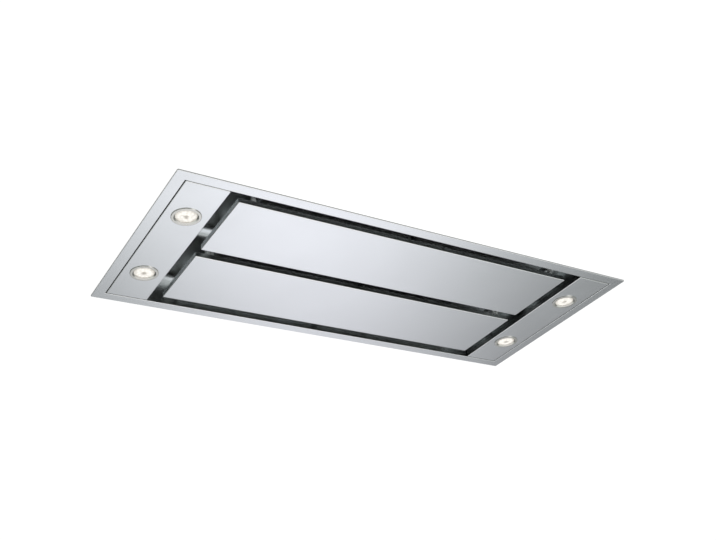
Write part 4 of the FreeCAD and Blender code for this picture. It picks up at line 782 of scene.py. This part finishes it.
@dataclass
class GreasePack:
    """The expanded aluminium inside one grease filter: layers of fine open mesh."""

    node: str
    pitch_x: float = 0.0118
    pitch_y: float = 0.0058
    strand: float = 0.0007
    layers: tuple[float, ...] = (0.12, 0.5, 0.88)

    CORNERS: ClassVar[int] = 4

    def build(self) -> bpy.types.Object:
        """Makes the layers where the CAD solid is and lets them stand for it.

        Returns:
            The piece.
        """
        low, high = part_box(self.node)
        edge = Vector((self.strand, self.strand, 0.0))
        low, high = low + edge, high - edge
        columns, rows = int((high.x - low.x) / self.pitch_x), int((high.y - low.y) / self.pitch_y)
        wide, deep = (high.x - low.x) / columns, (high.y - low.y) / rows
        points = [
            (low.x + (column + 0.5) * wide, low.y + (row + 0.5) * deep, low.z + share * (high.z - low.z))
            for share in self.layers for column in range(columns) for row in range(rows)
        ]
        piece = add_mesh(self.node.replace("_filter_mesh", "_grease_pack"), points, [])
        model = NodeModel(f"{piece.name}_lattice", {"Width": wide, "Depth": deep, "Strand": self.strand})
        graph, given = model.graph, model.given
        ring, strand = (
            graph.add(
                "GeometryNodeCurvePrimitiveCircle", {"Resolution": self.CORNERS, "Radius": radius},
            ).outputs[0]
            for radius in (0.5, given["Strand"])
        )
        scale = graph.add("ShaderNodeCombineXYZ", {0: given["Width"], 1: given["Depth"], 2: 1.0}).outputs[0]
        diamond = graph.add("GeometryNodeTransform", {"Geometry": ring, "Scale": scale}).outputs[0]
        cell = graph.add("GeometryNodeCurveToMesh", {0: diamond, 1: strand}).outputs[0]
        cells = graph.add("GeometryNodeInstanceOnPoints", {"Points": given["Geometry"], "Instance": cell})
        model.end(cells.outputs[0], ALUMINIUM)
        model.apply(piece)
        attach(piece, "root")
        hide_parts(self.node)
        LOG.info("piece %s: %d cells", piece.name, len(points))
        return piece


@dataclass
class TurnedPieces:
    """Copies of one small turned piece, set out on points of the plenum."""

    name: str
    finish: Finish
    slot: str
    sides: int = 40

    SHARP: ClassVar[float] = 0.6

    def profile(self) -> list[tuple[float, float]]:
        """Radius and height of each ring of the piece, from its lower end to its upper one."""
        raise NotImplementedError

    def places(self) -> list[Vector]:
        """Where the pieces stand."""
        raise NotImplementedError

    def recess(self) -> dict[str, float]:
        """Length, width, depth and level of the cross in the piece's top: nothing where it has none."""
        return {}

    def turned(self) -> bpy.types.Object:
        """Turns the profile about the Z axis.

        Returns:
            One closed piece.
        """
        rings = self.profile()
        steps = [2 * pi * step / self.sides for step in range(self.sides)]
        points = [
            (radius * cos(turn), radius * sin(turn), level) for radius, level in rings for turn in steps
        ]
        faces: list[Sequence[int]] = [tuple(reversed(range(self.sides)))]
        for ring in range(len(rings) - 1):
            for step in range(self.sides):
                low, after = ring * self.sides + step, ring * self.sides + (step + 1) % self.sides
                faces.append((low, after, after + self.sides, low + self.sides))
        faces.append(tuple(range(len(points) - self.sides, len(points))))
        return add_mesh(f"{self.name}_single", points, faces)

    def build(self) -> bpy.types.Object:
        """Sets the copies out, with the cross cut into each.

        Returns:
            The piece that holds them all.
        """
        single, points = self.turned(), self.places()
        piece = add_mesh(self.name, points, [])
        cross = self.recess()
        model = NodeModel(f"{self.name}_set", cross)
        graph, given = model.graph, model.given
        shape = graph.add("GeometryNodeObjectInfo", {"Object": single}).outputs["Geometry"]
        for length, width in (("Length", "Width"), ("Width", "Length")) if cross else ():
            size = graph.add("ShaderNodeCombineXYZ", {0: given[length], 1: given[width], 2: given["Depth"]})
            bar = graph.add("GeometryNodeMeshCube", {"Size": size.outputs[0]}).outputs[0]
            level = graph.add("ShaderNodeCombineXYZ", {2: given["Level"]}).outputs[0]
            raised = graph.add("GeometryNodeTransform", {"Geometry": bar, "Translation": level}).outputs[0]
            shape = graph.add(
                "GeometryNodeMeshBoolean", {"Mesh 1": shape, "Mesh 2": raised}, operation="DIFFERENCE",
            ).outputs[0]
        copies = graph.add("GeometryNodeInstanceOnPoints", {"Points": given["Geometry"], "Instance": shape})
        model.end(copies.outputs[0], self.finish)
        model.apply(piece)
        bpy.data.objects.remove(single)
        piece.data.shade_smooth()
        piece.data.set_sharp_from_angle(angle=self.SHARP)
        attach(piece, "root")
        LOG.info("piece %s: %d copies", self.name, len(points))
        return piece


@dataclass
class PanScrews(TurnedPieces):
    """The sheet-metal screws on the plenum, with a cross recess in each head."""

    node: str = "body_screws"
    head_radius: float = 0.004
    head_height: float = 0.0024
    shank_radius: float = 0.002
    shank_length: float = 0.006
    round_steps: int = 6

    # Share of the shank's radius at its tip, and of its length where the point starts.
    POINT: ClassVar[tuple[float, float]] = (0.6, 0.8)
    # Length and width of the cross's bars, as shares of the head's radius.
    CROSS: ClassVar[tuple[float, float]] = (1.15, 0.28)
    # Two screws are at least this many head radii apart.
    APART: ClassVar[float] = 3.0

    def profile(self) -> list[tuple[float, float]]:
        """Shank, seat and rounded head."""
        edge = self.head_height / 2
        tip_share, straight_share = self.POINT
        arc = [pi / 2 * step / self.round_steps for step in range(self.round_steps + 1)]
        return [
            (self.shank_radius * tip_share, -self.shank_length),
            (self.shank_radius, -self.shank_length * straight_share),
            (self.shank_radius, 0.0), (self.head_radius, 0.0),
            *((self.head_radius - edge + edge * cos(turn), edge + edge * sin(turn)) for turn in arc),
        ]

    def recess(self) -> dict[str, float]:
        """A cross over half of the head's width and half its height."""
        length, width = (self.head_radius * share for share in self.CROSS)
        return {"Length": length, "Width": width, "Depth": self.head_height, "Level": self.head_height}

    def places(self) -> list[Vector]:
        """The seat of each screw of the CAD node, found from the points of its mesh."""
        screws: list[list[Vector]] = []
        for vertex in bpy.data.objects[self.node].data.vertices:
            for screw in screws:
                if (screw[0].xy - vertex.co.xy).length < self.APART * self.head_radius:
                    screw.append(vertex.co)
                    break
            else:
                screws.append([vertex.co])
        seats = []
        for screw in screws:
            spans = [[point[axis] for point in screw] for axis in range(3)]
            middle = [(min(span) + max(span)) / 2 for span in spans[:2]]
            seats.append(Vector((*middle, max(spans[2]) - self.head_height)))
        return seats

    def build(self) -> bpy.types.Object:
        """Sets the screws out and lets them stand for the CAD node.

        Returns:
            The piece.
        """
        piece = super().build()
        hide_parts(self.node)
        return piece


@dataclass
class SpotWelds(TurnedPieces):
    """The small craters of the welds that hold the top sheet to the flanges of the walls."""

    node: str = "body_top"
    radius: float = 0.003
    rise: float = 0.00025
    inset: float = 0.0082
    pitch: float = 0.09
    sheet_top: float = 0.095

    # Shares of the radius and of the rise.
    CRATER: ClassVar[tuple[tuple[float, float], ...]] = (
        (1.0, -1.0), (1.0, 0.0), (0.86, 0.8), (0.74, 1.0), (0.62, 0.7), (0.5, 0.2),
    )

    def profile(self) -> list[tuple[float, float]]:
        """A low ring around a shallow hollow."""
        return [(self.radius * across, self.rise * level) for across, level in self.CRATER]

    def places(self) -> list[Vector]:
        """Rows along the four edges of the sheet."""
        _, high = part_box(self.node)
        half_x, half_y = high.x - self.inset, high.y - self.inset
        found = []
        for half_along, half_across, swap in ((half_x, half_y, False), (half_y, half_x, True)):
            count = round(2 * half_along / self.pitch)
            for step in range(count):
                along = half_along * ((2 * step + 1) / count - 1)
                for across in (-half_across, half_across):
                    place = (across, along) if swap else (along, across)
                    found.append(Vector((*place, self.sheet_top)))
        return found


@dataclass(frozen=True)
class Softbox:
    """A square lamp that is bright in its middle and falls off to its edges."""

    name: str
    place: tuple[float, float, float]
    target: tuple[float, float, float]
    size: float
    power: float

    SOFT_EDGE: ClassVar[float] = 0.32

    def build(self) -> None:
        """Makes the lamp and points it at its target."""
        light = bpy.data.lights.new(self.name, "AREA")
        light.size, light.energy = self.size, self.power
        graph = Graph.fresh(light)
        across = graph.add("ShaderNodeNewGeometry").outputs["Parametric"]
        parts = graph.add("ShaderNodeSeparateXYZ", {0: across}).outputs
        level = graph.math("MULTIPLY", *[graph.hump(part, 0.5, self.SOFT_EDGE) for part in parts[:2]])
        glow = graph.add("ShaderNodeEmission", {"Strength": level}).outputs[0]
        graph.add("ShaderNodeOutputLight", {"Surface": glow})
        lamp = bpy.data.objects.new(self.name, light)
        lamp.location = self.place
        way = Vector(self.target) - Vector(self.place)
        lamp.rotation_euler = way.to_track_quat("-Z", "Y").to_euler()
        bpy.context.scene.collection.objects.link(lamp)


SOFTBOXES = (
    Softbox("key_softbox", (0.95, -2.25, -1.5), (0.0, 0.0, 0.0), size=2.4, power=34.0),
    Softbox("top_softbox", (-1.2, -1.6, 2.4), (0.0, 0.0, 0.1), size=1.8, power=50.0),
    Softbox("rear_softbox", (1.5, 2.5, 1.7), (0.0, 0.0, 0.1), size=1.8, power=55.0),
)


@dataclass
class Stage:
    """Ceiling, floor, world and lamps: white to the eye, with soft light on the object.

    Tones are display tones from 0 to 1, turns are angles from +Y toward +X, and levels are angles
    below the horizon.
    """

    opening_x: float = 0.597
    opening_y: float = 0.262
    ceiling_half: float = 6.0
    floor_height: float = -1.5
    floor_half: float = 1.5
    window_turn: float = 0.541
    window_width: float = 0.31
    window_left: float = 0.27
    window_seam: float = 0.05
    window_level: float = 0.524
    window_slope: float = 1.95
    window_gain: float = 0.48
    base_tone: float = 0.46
    dark_tone: float = 0.42
    most_tone: float = 0.86
    window_excess: float = 0.12
    flag_turn: float = -1.0
    flag_width: float = 0.7
    flag_tone: float = 0.32
    sky_tone: float = 0.3
    horizon_tone: float = 0.25
    horizon_level: float = -0.1
    horizon_width: float = 0.25

    CORNERS: ClassVar[tuple[tuple[int, int], ...]] = ((-1, -1), (1, -1), (1, 1), (-1, 1))
    FADE_START: ClassVar[float] = 0.6
    GAMMA: ClassVar[float] = 2.2
    WORLD_POWER: ClassVar[float] = 1.235
    ROOM_TINT: ClassVar[Colour] = (0.95, 1.0, 0.98)
    WINDOW_TINT: ClassVar[Colour] = (0.98, 0.99, 1.03)

    def build(self) -> None:
        """Makes the whole stage."""
        ceiling = self.add_ceiling()
        floor = self.add_floor()
        self.light_world()
        for softbox in SOFTBOXES:
            softbox.build()

    def one_sided(
        self, name: str, shade: float, glow: float, mirrored: float, reach: float,
    ) -> bpy.types.Material:
        """A plain white surface that is clear from behind and fades out far from its middle.

        Args:
            name: The material's name.
            shade: How much light it gives back.
            glow: How bright it is to the eye by itself.
            mirrored: How bright it is in reflections.
            reach: Distance from its middle at which it is gone.

        Returns:
            The material.
        """
        material = bpy.data.materials.new(name)
        graph = Graph.fresh(material)
        path = graph.add("ShaderNodeLightPath").outputs
        bounced = graph.math("MAXIMUM", path["Is Glossy Ray"], path["Is Transmission Ray"])
        direct = graph.math("MULTIPLY", path["Is Camera Ray"], glow)
        seen = graph.math("ADD", direct, graph.math("MULTIPLY", bounced, mirrored))
        white = graph.add("ShaderNodeBsdfDiffuse", {"Color": (shade, shade, shade, 1.0)}).outputs[0]
        light = graph.add("ShaderNodeEmission", {"Strength": seen}).outputs[0]
        front = graph.add("ShaderNodeAddShader", {0: white, 1: light}).outputs[0]
        behind = graph.add("ShaderNodeNewGeometry").outputs["Backfacing"]
        place = graph.add("ShaderNodeTexCoord").outputs["Object"]
        flat = graph.stretched(place, (1.0, 1.0, 0.0))
        away = graph.add("ShaderNodeVectorMath", {0: flat}, operation="LENGTH").outputs["Value"]
        far = graph.spread(away, reach * self.FADE_START, reach, 0.0, 1.0)
        faded = graph.math("MAXIMUM", behind, far)
        clear = graph.add("ShaderNodeBsdfTransparent").outputs[0]
        shown = graph.add("ShaderNodeMixShader", {0: faded, 1: front, 2: clear}).outputs[0]
        graph.add("ShaderNodeOutputMaterial", {"Surface": shown})
        return material

    def square(self, half_x: float, half_y: float, level: float) -> list[tuple[float, float, float]]:
        """Corners of a flat rectangle about the Z axis.

        Args:
            half_x: Half its length.
            half_y: Half its width.
            level: Its height.

        Returns:
            The four corners, counter-clockwise from above.
        """
        return [(x * half_x, y * half_y, level) for x, y in self.CORNERS]

    def add_ceiling(self) -> bpy.types.Object:
        """Makes the ceiling around the cut-out, which faces down.

        Returns:
            The ceiling.
        """
        inner = self.square(self.opening_x, self.opening_y, 0.0)
        outer = self.square(self.ceiling_half, self.ceiling_half, 0.0)
        faces = [(side, (side + 1) % 4, (side + 1) % 4 + 4, side + 4) for side in range(4)]
        ceiling = add_mesh("ceiling", inner + outer, faces)
        reach = 3 * self.ceiling_half
        white = self.one_sided("ceiling_white", shade=0.1, glow=1.0, mirrored=0.6, reach=reach)
        ceiling.data.materials.append(white)
        return ceiling

    def add_floor(self) -> bpy.types.Object:
        """Makes the floor below the hood, which faces up.

        Returns:
            The floor.
        """
        corners = self.square(self.floor_half, self.floor_half, self.floor_height)
        floor = add_mesh("floor", corners, [(0, 1, 2, 3)])
        white = self.one_sided("floor_white", shade=0.12, glow=0.9, mirrored=0.9, reach=self.floor_half)
        floor.data.materials.append(white)
        return floor

    def light_world(self) -> None:
        """Lights the world: white to the eye, and a wide soft window in what the hood reflects."""
        world = bpy.data.worlds.new("studio")
        bpy.context.scene.world = world
        graph = Graph.fresh(world)
        way = graph.add("ShaderNodeTexCoord").outputs["Generated"]
        parts = graph.add("ShaderNodeSeparateXYZ", {0: way}).outputs
        azimuth = graph.math("ARCTAN2", parts[0], parts[1])
        start, end = self.window_turn - self.window_seam, self.window_turn + self.window_seam
        width = graph.spread(azimuth, start, end, self.window_left, self.window_width)
        window = graph.hump(azimuth, self.window_turn, width)
        below = graph.math("ARCSINE", graph.math("MULTIPLY", parts[2], -1.0))
        slope = graph.math("MULTIPLY", graph.math("SUBTRACT", below, self.window_level), self.window_slope)
        base = graph.math("ADD", slope, self.base_tone)
        tone = graph.math("ADD", graph.math("MULTIPLY", window, self.window_gain), base)
        flag = graph.hump(azimuth, self.flag_turn, self.flag_width)
        least = graph.math("SUBTRACT", self.dark_tone, graph.math("MULTIPLY", flag, self.flag_tone))
        upward = graph.math("MULTIPLY", graph.math("MAXIMUM", parts[2], 0.0), self.sky_tone)
        edge = graph.hump(below, self.horizon_level, self.horizon_width)
        sky = graph.math("ADD", upward, graph.math("MULTIPLY", edge, self.horizon_tone))
        most = graph.math("ADD", graph.math("MULTIPLY", window, self.window_excess), self.most_tone)
        lit = graph.math("MINIMUM", graph.math("ADD", graph.math("MAXIMUM", tone, least), sky), most)
        strength = graph.math("MULTIPLY", graph.math("POWER", lit, self.GAMMA), self.WORLD_POWER)
        colour = graph.blend(window, self.ROOM_TINT, self.WINDOW_TINT)
        soft = graph.add("ShaderNodeBackground", {"Color": colour, "Strength": strength}).outputs[0]
        plain = graph.add("ShaderNodeBackground", {"Color": (1.0, 1.0, 1.0, 1.0), "Strength": 1.0}).outputs[0]
        path = graph.add("ShaderNodeLightPath").outputs
        shown = graph.add("ShaderNodeMixShader", {0: path["Is Camera Ray"], 1: soft, 2: plain}).outputs[0]
        graph.add("ShaderNodeOutputWorld", {"Surface": shown})


@dataclass
class Viewpoint:
    """The photograph's camera, solved from the corners of the frame."""

    place: tuple[float, float, float] = (-1.17169, -1.65558, -1.12485)
    aim: tuple[float, float, float] = (0.491596, 0.711557, 0.502015)
    up: tuple[float, float, float] = (-0.183719, -0.478763, 0.858506)
    lens_mm: float = 48.09
    sensor_mm: float = 36.0

    def build(self) -> None:
        """Makes the camera and hands it to the scene."""
        data = bpy.data.cameras.new("camera")
        data.lens, data.sensor_width = self.lens_mm, self.sensor_mm
        camera = bpy.data.objects.new("camera", data)
        back, above = -Vector(self.aim), Vector(self.up)
        turn = Matrix((above.cross(back), above, back)).transposed().to_4x4()
        camera.matrix_world = Matrix.Translation(self.place) @ turn
        bpy.context.scene.collection.objects.link(camera)
        bpy.context.scene.camera = camera


def main() -> None:
    """Builds the dressed hood, the stage and the camera."""
    logging.basicConfig(level=logging.INFO, format="%(message)s")
    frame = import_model()
    bpy.context.scene.view_settings.view_transform = "Standard"
    Viewpoint().build()
    dress_nodes(frame)
    for end in ("front", "rear"):
        for side in ("left", "right"):
            GreasePack(f"{end}_{side}_filter_mesh").build()
    PanScrews("pan_screws", ZINC, "zinc_hardware").build()
    SpotWelds("spot_welds", BURNT_ZINC, "galvanised_sheet").build()
    Stage().build()


if __name__ == "__main__":
    main()
